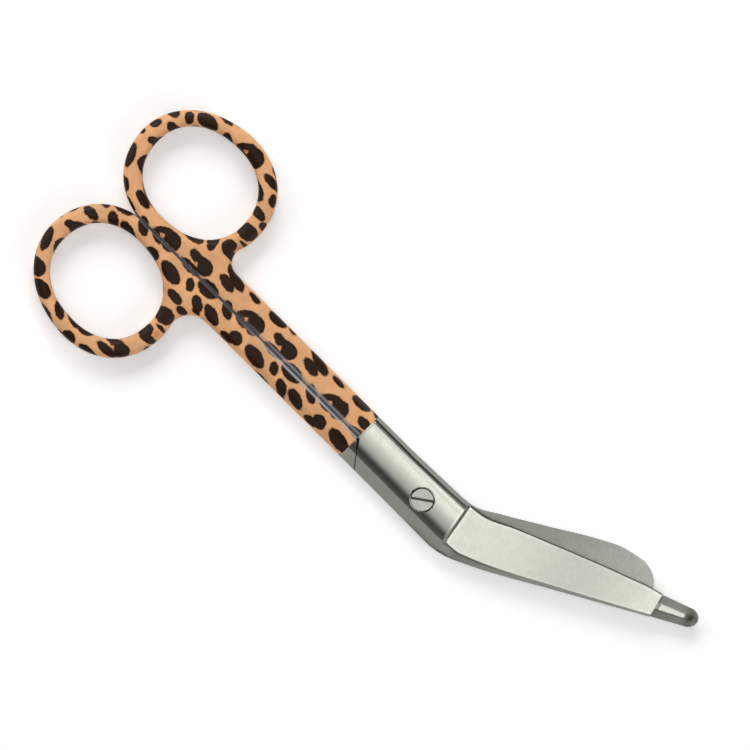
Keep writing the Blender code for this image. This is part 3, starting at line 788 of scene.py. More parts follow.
# the front half: its lap, and a blade with a polished face, a strip by the spine and a bevelled edge
def frontSteel():
    lap = lapRibs("front")
    start, end = body["jointEnd"], blade["frontEnd"]
    byFoot = start + np.array([0.0, 0.05, 0.1, 0.2, 0.3, 0.4, 0.5, 0.6, 0.8])
    x = np.concatenate([byFoot, np.linspace(start + 1, end - 0.6, 98), end + np.linspace(-0.5, 0.0, 14)])
    past = x - start
    share = past / (end - start)
    rootSlant = body["endSlant"] * (halves["front"]["reach"] + halves["front"]["innerReach"])
    spineX = x + towards(rootSlant, blade["frontEndSlant"], share)
    outer = np.column_stack([x, lineThrough(blade["edge"], x)])
    inner = np.column_stack([spineX, lineThrough(blade["spine"], spineX)])
    width = np.linalg.norm(inner - outer, axis=1)
    face = towards(blade["faceRoot"], blade["faceTip"]["front"], share)
    low = body["matingGap"] + blade["relief"]
    # the strip carries on the lap's flank and turns to its own slope over the first millimetres
    own = ease(0.5, 3.5, past)
    lapSlope = (body["halfThickness"] - crown["wideRoll"] - crown["wideEdge"]) / crown["wideFlank"]
    foot = crown["wideEdge"] + low * own
    slope = towards(lapSlope, (face - low - crown["wideEdge"]) / stripWidth(x), own)
    strip = (face - foot) / slope
    rows = rowPlaces(width, np.full(len(x), blade["edgeRows"]), strip / crown["wideFlank"])
    bevel = blade["bevel"] + blade["heelBevel"] * bell(x, 11, 4) + blade["endBevel"] * ease(30, 42, x)
    fromInner = width[:, None] - rows
    columns = (value[:, None] for value in (x, past, face, foot, slope, strip, bevel))
    x, past, face, foot, slope, strip, bevel = columns
    height = np.minimum(np.minimum(face, foot + slope * fromInner), face - (bevel - rows))
    # the face is polished; its sheen along it is painted, with a painted highlight along its rim
    shades = bladeShades
    sheen = shades["face"] + shades["middle"] * bell(x, 29, 9) + shades["end"] * bell(x, 43, 2.5)
    rim = bell(fromInner, strip + shades["rimAtStrip"], shades["rimWidth"])
    rim = rim + bell(rows, bevel + shades["rimAtBevel"], shades["rimWidth"])
    tone = sheen * (1 + shades["rim"] * rim)
    # the strip is a duller grind with painted shade, and the bevel is painted dark as the shadow between the
    # blades
    onStrip = 1 - ease(strip - 0.12, strip + 0.06, fromInner)
    stripTone = towards(tones["flank"], tones["strip"], ease(0.8, 3.5, past))
    # painted shade: a dark line on the strip under the face, and a darker strip by its edge near the bend
    underFace = bell(fromInner, strip - shades["underFacePlace"], shades["underFaceWidth"])
    underFace = underFace * (1 - ease(13, 22, x))
    atEdge = np.exp(-fromInner / shades["edgeFall"]) * (1 - ease(7, 13, x))
    stripTone = stripTone * (1 - shades["underFace"] * underFace) * (1 - shades["atEdge"] * atEdge)
    tone = towards(tone, stripTone, onStrip)
    bevelTone = tones["bevel"] + shades["heelBevel"] * (1 - ease(12, 16, x))
    bevelTone = bevelTone + shades["endBevel"] * ease(30, 42, x)
    tone = towards(tone, bevelTone, 1 - ease(bevel - 0.02, bevel + 0.1, rows))
    # the step's foot is painted dark as shade, with a painted highlight line past it
    tone = towards(tone, tones["edge"], (1 - ease(0.04, 0.16, past)) * (1 - onStrip))
    tone = tone * (1 + shades["footLight"] * bell(past, 0.42, 0.18))
    # the face's corner at the bend is painted dark as shade outside a quarter circle, so that it looks
    # rounded
    radius = shades["cornerRadius"]
    byStep = np.clip(radius - (past - 0.1), 0, radius)
    byStrip = np.clip(radius - (fromInner - strip), 0, radius)
    corner = ease(radius - 0.09, radius + 0.03, np.hypot(byStep, byStrip)) * (byStep > 0) * (byStrip > 0)
    tone = towards(tone, shades["corner"], corner * (1 - onStrip))
    # the blade's last strip before the probe is painted darker as shade, matching the probe's band
    tone = towards(tone, probe["tones"]["bandEdge"], ease(end - 0.14, end, x) * (1 - onStrip))
    groove = blade["groove"] * bell(past, 0, blade["grooveWidth"])
    height = np.maximum(height - groove * (1 - onStrip), low + blade["leastHeight"])
    # the step's rows off the flank are painted dark as shade
    lapRows, lapTone = lap[2][-1], lap[4][-1]
    onFlank = lapRows > lapRows[-1] - crown["wideFlank"] - 0.1
    stepTone = np.where(onFlank, lapTone, np.minimum(lapTone, tones["edge"]))
    points, faces, layers = joinBlade(lap, outer, inner, rows, height, tone, stepTone, low)
    return toObject(points, "front"), faces, layers


# tones of the back half's inner face, from painted shade at the shoulder's gap to a painted lightening
# towards the blade's end, and of its back
insideShades = {"recessShade": 0.14, "heel": 0.65, "end": 0.89, "back": 1.02}


# the back half: the wide blade is worked out as it lies closed, seen from above, with its edge hidden
# under the front blade and its spine beyond it
def backSteel():
    lap = lapRibs("back")
    start, end = body["jointEnd"], blade["backEnd"]
    apexX, apexY = blade["backSpine"][-1]
    endY = float(lineThrough(blade["edge"], end)) - blade["overlap"]
    rootWidth = sum(half[size] for half in halves.values() for size in ("reach", "swell"))
    byFoot = start + np.array([0.0, 0.05, 0.1, 0.2, 0.4, 0.7])
    roundEnd = towards(apexX, end, np.sin(np.linspace(0, math.pi / 2, 32)[1:]))
    x = np.concatenate([byFoot, np.linspace(start + 1, apexX, 80), roundEnd])
    past = x - start
    heel = np.maximum(0.0, 1 - past / blade["heel"]) ** 2
    edgeY = lineThrough(blade["edge"], x) - towards(blade["overlap"], rootWidth, heel)
    # the ribs start slanted, like the lap's last one
    spineX = x + body["endSlant"] * rootWidth * (1 - ease(start, blade["backStraight"], x))
    onSpine = lineThrough(blade["backSpine"], np.minimum(spineX, apexX))
    onRound = towards(endY, apexY, np.sqrt(1 - np.clip((x - apexX) / (end - apexX), 0, 1) ** 2))
    spineY = np.maximum(np.where(x <= apexX, onSpine, onRound), edgeY + blade["leastWidth"])
    outer = np.column_stack([x, -edgeY])
    inner = np.column_stack([spineX, -spineY])
    width = np.linalg.norm(inner - outer, axis=1)
    low = body["matingGap"] + blade["relief"]
    strip = np.minimum(stripWidth(x), blade["widestStrip"] * width)
    rows = rowPlaces(width, np.minimum(blade["edgeRows"], width / 12), strip / crown["wideFlank"])
    face = towards(blade["faceRoot"], blade["faceTip"]["back"], past / (end - start))[:, None]
    foot = low + crown["wideEdge"]
    flank = foot + (face - foot) * (width[:, None] - rows) / strip[:, None]
    height = np.minimum(np.minimum(face, flank), face - (blade["bevel"] - rows))
    height = np.maximum(height, low + blade["leastHeight"])
    tone = np.full(height.shape, insideShades["back"])
    points, faces, layers = joinBlade(lap, outer, inner, rows, height, tone, lap[4][-1], low)
    inside = layers["tone"][:, -2:]
    along = points.reshape(len(inside), -1, 3)[:, -1, 0]
    # painted shade: dark by the shoulder's gap, lighter along the blade towards its end
    shade = towards(insideShades["heel"], insideShades["end"], ease(16, end, along))
    inside[:] = towards(insideShades["recessShade"], shade, ease(-13.5, -9.5, along))[:, None]
    return toObject(points, "back"), faces, layers


# the end of a shank beside the other lap: rows across from the parting line to the outer edge,
# each running from under the coating to the other lap's slanted shoulder
def shankEnd(side):
    half = halves[side]
    parting, outerY = half["parting"], half["reach"]
    width = half["reach"] + half["innerReach"]
    runs = ((0, 0.1, 5), (0.12, 0.52, 16), (0.54, 0.6, 7), (0.62, 1, 10))  # from, to, count
    y = towards(parting, outerY, np.concatenate([np.linspace(*run) for run in runs]))
    gap = body["shoulderGap"] - 0.2 * ease(1.2, 2.6, y - parting)  # it is thin past its upper part
    run = body["shoulderRun"]
    endX = body["shoulderStart"] - gap * math.hypot(1, run) + run * (y - parting)
    x = towards(body["steelStart"], endX[:, None], np.linspace(0, 1, 14))
    inwards = width - (outerY - y)
    depth = np.minimum(roundedCrown(inwards, width), chamferTop(y - parting))[:, None] - underCoat(x)
    middle = (outerY + parting) / 2
    across = middle + (y[:, None] - middle) * (1 - underCoat(x) / (outerY - middle))
    bottom = np.dstack([x, across, -depth])
    top = np.dstack([x, across, np.full(x.shape, body["matingGap"])])
    ring = np.concatenate([bottom, top[:, ::-1]], axis=1)
    # the crowned face takes the crown's painted shade, the last column is painted dark as shade in the gap,
    # and the face by the mating plane is painted dark as shade in the recess
    shade = np.repeat(crownTone(inwards, width)[:, None], x.shape[1], axis=1)
    shade[:, -1] = tones["edge"]
    tone = np.concatenate([shade, np.full(shade.shape, tones["recessShade"])], axis=1)
    count = ring.shape[1]
    faces = gridFaces(len(ring), count, True).tolist()
    # the two sides, closed as strips between the bottom and top rows
    for base in (0, (len(ring) - 1) * count):
        for i in range(x.shape[1] - 1):
            faces.append([base + i, base + i + 1, base + count - 2 - i, base + count - 1 - i])
    return toObject(ring.reshape(-1, 3), side), faces, {"tone": tone}


# blunt probe: sections across its axis, with a flat land that runs out before the tip, sloping flanks and
# a short side, all shrinking to a round end
probe = {
    "length": 8.25,
    "start": -1.2,
    "rootHalf": 2.25,
    "tipHalf": 1.65,
    "halfHeight": 1.5,
    "landRoot": 0.72,  # half widths
    "landEnd": 0.48,
    "landLength": 5.6,
    "side": 0.6,
    "round": 1.9,
    "turn": 24.5,
    "rounding": 0.2,
    "wallBand": 0.66,  # band of painted shade between the blade's end and the land
    "shadeSpot": 6.75,  # a spot of painted shade this far along
    "shadeSpotSize": 0.6,
    # painted shade on the flanks, the band and the round end; the land is left light
    "tones": {"land": 0.92, "flank": 0.52, "band": 0.47, "bandEdge": 0.72, "end": 0.25},
}


# height across a section: the land, then a slope down to the side
def probeHeight(offset, half, land):
    slope = (probe["halfHeight"] - probe["side"] / 2) / (half - land)
    return np.clip(probe["halfHeight"] - slope * (offset - land), 0, probe["halfHeight"])


def probeSurface():
    x = blade["frontEnd"]
    rootEdge = np.array([x, float(lineThrough(blade["edge"], x))])
    spineX = x + blade["frontEndSlant"]
    rootSpine = np.array([spineX, float(lineThrough(blade["spine"], spineX))])
    start = (rootEdge + rootSpine) / 2
    turn = math.radians(probe["turn"])
    ahead = np.array([math.cos(turn), math.sin(turn)])
    left = np.array([-ahead[1], ahead[0]])
    straight = probe["length"] - probe["round"]
    rounded = straight + probe["round"] * np.sin(np.linspace(0, math.pi / 2, 30)[1:])
    along = np.concatenate([np.linspace(probe["start"], straight, 60), rounded])
    size = np.sqrt(np.clip(1 - (np.maximum(along - straight, 0) / probe["round"]) ** 2, 0.0004, 1))
    share = np.maximum(along, 0) / probe["length"]
    half = towards(probe["rootHalf"], probe["tipHalf"], share)[:, None]
    land = towards(probe["landRoot"], probe["landEnd"], np.clip(along / probe["landLength"], 0, 1))[:, None]
    offset = np.sin(np.linspace(0, math.pi / 2, 34)) * half
    steps = probe["rounding"] * np.linspace(-0.5, 0.5, 9)
    height = np.mean([probeHeight(np.abs(offset + s), half, land) for s in steps], axis=0)
    offset, height = offset * size[:, None], height * size[:, None]
    upper = np.stack([offset, height], -1)
    side = np.concatenate([upper, (upper * [1, -1])[:, ::-1]], axis=1)
    ringOff = np.concatenate([side, (side * [-1, 1])[:, ::-1]], axis=1)
    centre = start + ahead * along[:, None]
    plan = centre[:, None, :] + left * ringOff[..., :1]
    ring = np.concatenate([plan, ringOff[..., 1:]], axis=-1)
    # the land stays light and the flanks are painted dark as shade; the land starts past a band of painted
    # shade that runs beside the blade's slanted end
    shades = probe["tones"]
    endLine = (rootSpine - rootEdge) / np.linalg.norm(rootSpine - rootEdge)
    past = (plan - rootEdge) @ np.array([-endLine[1], endLine[0]])
    band = towards(shades["bandEdge"], shades["band"], ease(0.02, 0.34, past))
    flat = towards(band, shades["land"], ease(-0.07, 0.07, past - probe["wallBand"]))
    fromLand = (along - probe["landLength"])[:, None]
    flat = towards(flat, shades["end"], ease(-0.25, 0.3, fromLand))
    flank = shades["flank"] * (1 - 0.45 * ease(-1.0, 1.0, fromLand))
    tone = towards(flank, flat, ease(-0.1, 0.1, land - np.abs(ringOff[..., 0])))
    # a spot of painted shade near the round end
    spotSize = probe["shadeSpotSize"]
    spot = bell(along[:, None], probe["shadeSpot"], spotSize) * bell(ringOff[..., 0], 0, spotSize)
    tone = tone * (1 - 0.7 * spot)
    return toObject(ring.reshape(-1, 3), "front"), tubeFaces(*ring.shape[:2]), {"tone": tone}


frontBody = makePiece("frontLapAndBlade", *frontSteel(), steelTop, "front", "front_steel", ["front_half"])
backBody = makePiece("backLapAndBlade", *backSteel(), steelBack, "back", "back_steel", ["back_half"])
for side in ("front", "back"):
    makePiece(f"{side}ShankEnd", *shankEnd(side), steelTop, side, f"{side}_steel", None)
makePiece("probeTip", *probeSurface(), steelTop, "front", "front_steel", None)
print("steel pieces made")


handle = {
    "ringThickness": 4.5,
    "ringBand": (3.5, 3.15),
    "ringLean": 12,
    "ringSquareness": 2.13,
    "runOut": 12,
    "hole": (22.0, 18.8),
    "holeLean": 4,
    "holeSquareness": 2.2,
    "edgeRound": 1.4,
    "thinFrom": -18.0,
    "thinTo": -54.0,
    "fade": 30.0,
    "wideFade": 2.028,
    "narrowFade": 0.84,
    "outOfReach": 50,  # a shift that takes a flank off the handle
    "ragged": 0.09,  # of the coating's end
    "hiddenShift": (9.3, 5.1),  # of the print on the hidden side
    "sharpAngle": 24,
}


# squared ellipse: cos and sin raised to 2/n, turned by an angle
def squaredEllipse(centre, reach, squareness, lean, turn):
    c, s = np.cos(turn), np.sin(turn)
    along = reach[0] * np.sign(c) * np.abs(c) ** (2 / squareness)
    across = reach[1] * np.sign(s) * np.abs(s) ** (2 / squareness)
    cosLean, sinLean = math.cos(math.radians(lean)), math.sin(math.radians(lean))
    x = centre[0] + along * cosLean - across * sinLean
    y = centre[1] + along * sinLean + across * cosLean
    return np.column_stack([x, y])


# a side's finger hole, and the outer line of its ring
def holeOutline(side, turn):
    reach = np.array(handle["hole"]) / 2
    centre = halves[side]["ringCentre"]
    return squaredEllipse(centre, reach, handle["holeSquareness"], handle["holeLean"], turn)


def ringOutline(side, turn):
    reach = np.array(handle["hole"]) / 2 + handle["ringBand"]
    centre = halves[side]["ringCentre"]
    return squaredEllipse(centre, reach, handle["ringSquareness"], handle["ringLean"], turn)


# points at even steps, or at given shares, along a line
def alongLine(line, shares):
    step = np.linalg.norm(np.diff(line, axis=0), axis=1)
    run = np.concatenate([[0], np.cumsum(step)])
    return np.column_stack([np.interp(np.asarray(shares) * run[-1], run, line[:, i]) for i in (0, 1)])


# nearest distance from points to a line of segments, and the outward direction there
def distanceTo(points, line):
    start, step = line[:-1], np.diff(line, axis=0)
    long = np.maximum((step**2).sum(1), 1e-12)
    outward = np.column_stack([step[:, 1], -step[:, 0]]) / np.sqrt(long)[:, None]
    away = np.empty(len(points))
    facing = np.empty((len(points), 2))
    for first in range(0, len(points), 4000):
        p = points[first:first + 4000]
        offset = p[:, None, :] - start
        t = np.clip((offset * step).sum(-1) / long, 0, 1)
        gap = np.linalg.norm(offset - t[..., None] * step, axis=-1)
        near = gap.argmin(1)
        away[first:first + 4000] = gap[np.arange(len(p)), near]
        facing[first:first + 4000] = outward[near]
    return away, facing


# the ring's outer line, and the fillet, whose centre lies its radius outside the ring
def handleLines(side):
    half = halves[side]
    reach, fillet, parting = half["reach"], half["fillet"], half["parting"]
    turn = np.linspace(-math.pi / 2, 1.5 * math.pi, 2881)
    ring = ringOutline(side, turn)
    ahead = np.gradient(ring, axis=0)
    outward = np.column_stack([ahead[:, 1], -ahead[:, 0]]) / np.hypot(ahead[:, 0], ahead[:, 1])[:, None]
    moved = ring + fillet * outward
    first = int(np.argmax(moved[:, 1] > reach + fillet))
    centre = moved[first]
    toRing = ring[first] - centre
    atRing = math.atan2(toRing[1], toRing[0]) % (2 * math.pi)
    sweep = np.linspace(1.5 * math.pi, atRing, 40)
    roundIn = centre + fillet * np.column_stack([np.cos(sweep), np.sin(sweep)])
    # the ring's low side leaves it at a slope, and runs straight to the parting line
    slope = math.radians(handle["runOut"])
    heading = np.arctan2(ahead[:, 1], ahead[:, 0])
    last = int(np.argmax((turn > math.pi) & (heading > -slope)))
    fall = ring[last, 1] - parting
    runEnd = ring[last] + [fall / math.tan(slope), -fall]
    ringLine = np.vstack([ring[first:last + 1], runEnd])
    # the seam between ring and shank follows the ring's own line, held over the parting line
    seam = ringOutline(side, np.linspace(turn[first] + 2 * math.pi, turn[last], 2000)[::-1])
    seam = np.column_stack([seam[:, 0], np.maximum(seam[:, 1], parting)])
    return ringLine, roundIn, np.vstack([runEnd, seam[seam[:, 0] > runEnd[0]]])


# the outer line's inset rows: near the rounded edge the steps follow a quarter circle
edgeRows = handle["edgeRound"] * (1 - np.cos(np.linspace(0, math.pi / 2, 9)))


# height of a handle's face: the least of the fading crown, the edge round and the chamfer, thinned
def handleHeight(x, y, fromOutline, half, flankSide):
    top = body["halfThickness"]
    fade = np.clip((body["coatEnd"] - x) / handle["fade"], 0, 1)
    width = half["reach"] + half["innerReach"]
    away = handle["outOfReach"]
    shift = handle[flankSide + "Fade"] * fade + away * (fade >= 1)
    if flankSide == "narrow":
        inwards, shifts = half["reach"] - y, {"narrowShift": shift, "wideShift": away}
    else:
        inwards, shifts = width - half["reach"] + y, {"narrowShift": away, "wideShift": shift}
    section = roundedCrown(inwards, width, fade=fade, **shifts)
    r = handle["edgeRound"]
    near = np.clip(r - fromOutline, 0, r)
    edge = top - r + np.sqrt(np.maximum(r * r - near * near, 0))
    height = np.minimum(np.minimum(section, edge), top - partingDrop(y - half["parting"]))
    thin = np.clip((handle["thinFrom"] - x) / (handle["thinFrom"] - handle["thinTo"]), 0, 1)
    return height * towards(1, handle["ringThickness"] / (2 * top), thin)


# plan grids of a handle: the ring round its hole, and the shank from the ring's seam to the coating's end
def handlePlan(side):
    half = halves[side]
    parting, reach = half["parting"], half["reach"]
    across = reach - parting
    ringLine, roundIn, seam = handleLines(side)
    # shares across the shank from its outer edge: close at the edge round and at the chamfer
    middleDepths = np.linspace(edgeRows[-1], across - 0.8, 14)[1:]
    partingDepths = across - np.array([0.72, 0.7, 0.66, 0.5, 0.3, 0.12, 0.0])
    v = np.concatenate([edgeRows, middleDepths, partingDepths]) / across
    # the ring's outer columns: its free line, the parting line under it, and the seam up to the fillet
    eased = (1 - np.cos(np.linspace(0, math.pi, 300))) / 2
    free = alongLine(ringLine, (eased + np.linspace(0, 1, 300)) / 2)
    lift = int(np.argmax(seam[:, 1] > parting + 1e-6))
    low = seam[: lift + 1].copy()
    low[:, 1] = parting
    rise = np.vstack([low[-1], seam[lift:]])
    rise[-1] = ringLine[0]
    leftEdge = alongLine(rise, 1 - v)
    outer = np.vstack([free, alongLine(low, np.linspace(0, 1, 24))[1:], leftEdge[::-1][1:-1]])
    # each column runs to the point of the hole that lies in the same direction from its centre
    hole = holeOutline(side, np.linspace(0, 2 * math.pi, 2401))
    fromCentre, holeFromCentre = outer - half["ringCentre"], hole - half["ringCentre"]
    angle = np.arctan2(fromCentre[:, 1], fromCentre[:, 0])
    holeAngle = np.unwrap(np.arctan2(holeFromCentre[:, 1], holeFromCentre[:, 0]))
    turned = (angle - holeAngle[0]) % (2 * math.pi)
    matched = np.column_stack([np.interp(turned, holeAngle - holeAngle[0], hole[:, i]) for i in (0, 1)])
    band = np.linalg.norm(matched - outer, axis=1)[:, None]
    fitted = edgeRows * np.minimum(1, band / (2 * edgeRows[-1]))
    middle = fitted[:, -1:] + (band - 2 * fitted[:, -1:]) * np.linspace(0, 1, 7)[1:-1]
    rows = np.concatenate([fitted, middle, band - fitted[:, ::-1]], axis=1)
    inwards = (matched - outer) / band
    ringPlan = outer[:, None, :] + inwards[:, None, :] * rows[..., None]
    # the shank's grid blends its four edges: seam, fillet and side, coating's end, parting line
    endX = body["coatEnd"] - 0.05
    topLine = np.vstack([roundIn[::-1], [(endX, reach)]])
    filletLength = np.linalg.norm(np.diff(roundIn, axis=0), axis=1).sum()
    filletShare = filletLength / (filletLength + endX - roundIn[0, 0])
    u = np.concatenate([np.linspace(0, filletShare, 25), np.linspace(filletShare, 1, 150)[1:]])
    topEdge = alongLine(topLine, u)
    bottomEdge = np.column_stack([leftEdge[-1, 0] + (endX - leftEdge[-1, 0]) * u, np.full(len(u), parting)])
    rightEdge = np.column_stack([np.full(len(v), endX), reach + (parting - reach) * v])
    u, w = u[:, None, None], v[None, :, None]
    shankPlan = (1 - u) * leftEdge[None] + u * rightEdge[None]
    shankPlan = shankPlan + (1 - w) * topEdge[:, None] + w * bottomEdge[:, None]
    shankPlan = shankPlan - (1 - u) * (1 - w) * topEdge[0] - u * (1 - w) * topEdge[-1]
    shankPlan = shankPlan - (1 - u) * w * bottomEdge[0] - u * w * bottomEdge[-1]
    # the coating's end is a little ragged
    y = shankPlan[..., 1]
    waves = (np.sin(7.3 * y + 1) + np.sin(11.9 * y) + 0.8 * np.sin(19.0 * y + 2)) / 2
    shankPlan[..., 0] += handle["ragged"] * waves * ease(endX - 1.5, endX - 0.05, shankPlan[..., 0])
    outline = np.vstack([[(endX + 4, reach)], roundIn, ringLine])
    return ringPlan, shankPlan, outline, hole[::-1], len(leftEdge)


# the parting edges: each side's painted grey line of reflection, measured from the parting, and the dark
# strip of painted shadow in the gap
partingLightShade = {
    "front": {"from": 0.48, "width": 0.22, "strength": 0.9, "grey": 0.36, "dark": 0.2},
    "back": {"from": 0.3, "width": 0.2, "strength": 0.95, "grey": 0.52, "dark": 0.08},
    "darkGrey": 0.085,
    "darkEdge": 0.1,  # half width of the dark strip's soft edge
    "darkWider": 0.12,  # it widens towards the rings
    "darkEnd": -76,
}


# a handle as one closed surface: both faces over the plan grids, and the walls between them;
# the print is laid on from the seen side and runs on down the walls
def handleSurface(side):
    half = halves[side]
    ringPlan, shankPlan, outline, hole, seamCount = handlePlan(side)
    plan = np.vstack([ringPlan.reshape(-1, 2), shankPlan.reshape(-1, 2)])
    fromOuter, facingOuter = distanceTo(plan, outline)
    fromHole, facingHole = distanceTo(plan, hole)
    nearHole = fromHole < fromOuter
    fromOutline = np.where(nearHole, fromHole, fromOuter)
    facing = np.where(nearHole[:, None], facingHole, facingOuter)
    upper = handleHeight(plan[:, 0], plan[:, 1], fromOutline, half, "narrow")
    under = -handleHeight(plan[:, 0], plan[:, 1], fromOutline, half, "wide")
    seen, hidden, turn = (upper, under, 1) if side == "front" else (under, upper, -1)
    r = handle["edgeRound"]
    near = np.clip(r - fromOutline, 0, r)
    excess = r * np.arcsin(near / r) - near
    unrolled = plan + facing * excess[:, None]
    seenMap = unrolled * [1, turn]
    hiddenMap = unrolled * [1, -turn] + handle["hiddenShift"]
    count, rows = ringPlan.shape[:2]
    shankStart = count * rows
    long, wide = shankPlan.shape[:2]
    number = np.arange(len(plan))
    ring = number[:shankStart].reshape(count, rows)
    shank = number[shankStart:].reshape(long, wide)
    nextColumn = np.roll(ring, -1, 0)
    corners = [ring, nextColumn, np.roll(nextColumn, -1, 1), np.roll(ring, -1, 1)]
    ringFaces = np.stack(corners, -1)[:, :-1].reshape(-1, 4)
    shankFaces = gridFaces(long, wide, start=shankStart)
    total = len(plan)
    points = [np.column_stack([plan, seen]), np.column_stack([plan, hidden])]
    maps = [seenMap, hiddenMap]
    faces = [ringFaces, shankFaces, ringFaces[:, ::-1] + total, shankFaces[:, ::-1] + total]
    # lines of points along which the walls stand, and the way in which the print runs down each
    outerWalls = (ring[:count - seamCount + 2, 0], np.append(ring[:, -1], ring[0, -1]), shank[:, 0])
    walls = [(line, facing[line] * [1, turn]) for line in outerWalls]
    walls += [(shank[:, -1], np.array([[0, -turn]])), (shank[-1], np.array([[1, 0]]))]
    start = 2 * total
    for line, down in walls:
        drop = np.abs(seen[line] - hidden[line])[:, None]
        points += [np.column_stack([plan[line], seen[line]]), np.column_stack([plan[line], hidden[line]])]
        maps += [seenMap[line], seenMap[line] + down * drop]
        faces.append(gridFaces(2, len(line), start=start))
        start += 2 * len(line)
    points = np.vstack(points)
    # a painted grey line of reflection along the parting edge, strongest next to the joint, and a painted
    # shadow strip in the gap
    x, inward = points[:, 0], points[:, 1] - half["parting"]
    line = partingLightShade[side]
    paintedGreyLine = bell(inward, line["from"], line["width"]) * line["strength"] * ease(-52, -34, x)
    darkTo = line["dark"] + partingLightShade["darkWider"] * (1 - ease(-52, -40, x))
    dark = (1 - ease(darkTo - partingLightShade["darkEdge"], darkTo + partingLightShade["darkEdge"], inward)) * (x > partingLightShade["darkEnd"])
    grey = towards(line["grey"], partingLightShade["darkGrey"], np.clip(1.5 * dark, 0, 1))
    # only the seen face's edge is painted, the wall behind it keeps its print
    nearViewer = ease(-1.0, 1.0, turn * points[:, 2])
    layers = {"worn": nearViewer * np.maximum(paintedGreyLine, dark), "wornGrey": grey}
    return toObject(points, side), np.vstack(faces), layers, np.vstack(maps)


for side, material in (("front", frontPrint), ("back", backPrint)):
    *surface, uv = handleSurface(side)
    nodes = [f"{side}_handle_coating"]
    slotName, sharp = f"{side}_print", handle["sharpAngle"]
    makePiece(f"{side}PrintedHandle", *surface, material, side, slotName, nodes, uv=uv, sharp=sharp)
print("handles made")


screw = {
    "head": 2.175,
    "top": 2.42,
    "low": 1.3,
    "rim": 0.14,
    "slotHalf": 0.24,
    "slotDepth": 0.3,
    "slotTurn": 35,
    "recess": 2.33,
    "neck": 1.5,
    "neckRecess": 1.56,
    "end": -2.52,
    "neckStart": 1.4,
    "headTone": 0.84,
    "neckTone": 0.85,
}


# head: rows across the slot, each a chord of the disc; the height falls as a quarter circle at the rim,
# and the slot is a half circle hollow with upright sides
def headSurface():
    radius, half = screw["head"], screw["slotHalf"]
    side = half + (radius - half) * np.sin(np.linspace(0, math.pi / 2, 26))
    floor = half * np.sin(np.linspace(-math.pi / 2, math.pi / 2, 11))[1:-1]
    across = np.concatenate([-side[::-1], [-half + 0.0005], floor, [half - 0.0005], side])
    inSlot = np.abs(across) < half - 0.0001
    s = np.sin(np.linspace(-math.pi / 2, math.pi / 2, 49))
    chord = np.sqrt(np.maximum(radius**2 - across**2, 0))
    along = chord[:, None] * s
    hollow = screw["slotDepth"] - half + np.sqrt(np.maximum(half**2 - across**2, 0))
    across = np.broadcast_to(across[:, None], along.shape)
    fromRim = radius - np.hypot(along, across)
    near = np.clip(screw["rim"] - fromRim, 0, screw["rim"])
    top = screw["top"] - screw["rim"] + np.sqrt(np.maximum(screw["rim"] ** 2 - near**2, 0))
    # painted shade lies round the rim, more of it on the upper side in the camera's view
    turn = math.radians(screw["slotTurn"])
    x = along * math.cos(turn) - across * math.sin(turn)
    y = along * math.sin(turn) + across * math.cos(turn)
    upper = ease(-0.3, 1.0, (y - x) / (radius * math.sqrt(2)))
    tone = tones["recessShade"] + (screw["headTone"] - tones["recessShade"]) * ease(0.02, 0.12, fromRim - 0.12 * upper)
    top = np.where(inSlot[:, None], screw["top"] - hollow[:, None], top)
    # the slot's hollow is painted dark as shade
    tone = np.where(inSlot[:, None], 0.6 * tones["edge"], tone)
    under = np.dstack([x, y, np.full(x.shape, screw["low"])])
    ring = np.concatenate([np.dstack([x, y, top]), under[:, ::-1]], axis=1)
    tone = np.concatenate([tone, np.full(tone.shape, tones["recessShade"])], axis=1)
    return ring.reshape(-1, 3), gridFaces(*ring.shape[:2], True), tone.ravel()


# neck: a profile of radius and height turned about Z
def neckSurface():
    neck, start, end = screw["neck"], screw["neckStart"], screw["end"]
    profile = np.array([
        (0, start), (neck, start), (neck, end + 0.1), (neck - 0.03, end + 0.03), (neck - 0.1, end),
        (neck - 0.4, end), (neck - 0.44, end + 0.03), (neck - 0.48, end), (0, end),
    ])
    segments = 64
    turn = np.linspace(0, 2 * math.pi, segments, endpoint=False)
    radius, height = profile[:, :1], profile[:, 1:]
    ring = np.stack([radius * np.cos(turn), radius * np.sin(turn), height + 0 * turn], -1)
    return ring.reshape(-1, 3), gridFaces(*ring.shape[:2], True), np.full(ring.size // 3, screw["neckTone"])


headPoints, headFaces, headTone = headSurface()
neckPoints, neckFaces, neckTone = neckSurface()
screwPoints = np.vstack([headPoints, neckPoints]) + [0, 0, body["halfThickness"]]
screwFaces = np.vstack([headFaces, neckFaces + len(headPoints)])
screwLayers = {"tone": np.concatenate([headTone, neckTone])}
screwSurface = (screwPoints, screwFaces, screwLayers)
makePiece("pivotScrewHead", *screwSurface, steelScrew, "back", "screw_steel", ["pivot_screw"])
boreRound(frontBody, screw["recess"], body["halfThickness"] + 1.2, 8)
boreRound(backBody, screw["neckRecess"], -1, 3)
boreRound(frontBody, screw["neckRecess"], 2, 4.2)
print("screw made")


stage = {
    "floorSize": 6.0,  # metres from its middle to a side
    "floorGrid": 9,
    "white": (0.92, 0.92, 0.92),
    "glow": 0.31,  # brings the lit paper up to white and leaves the shadow on it
}


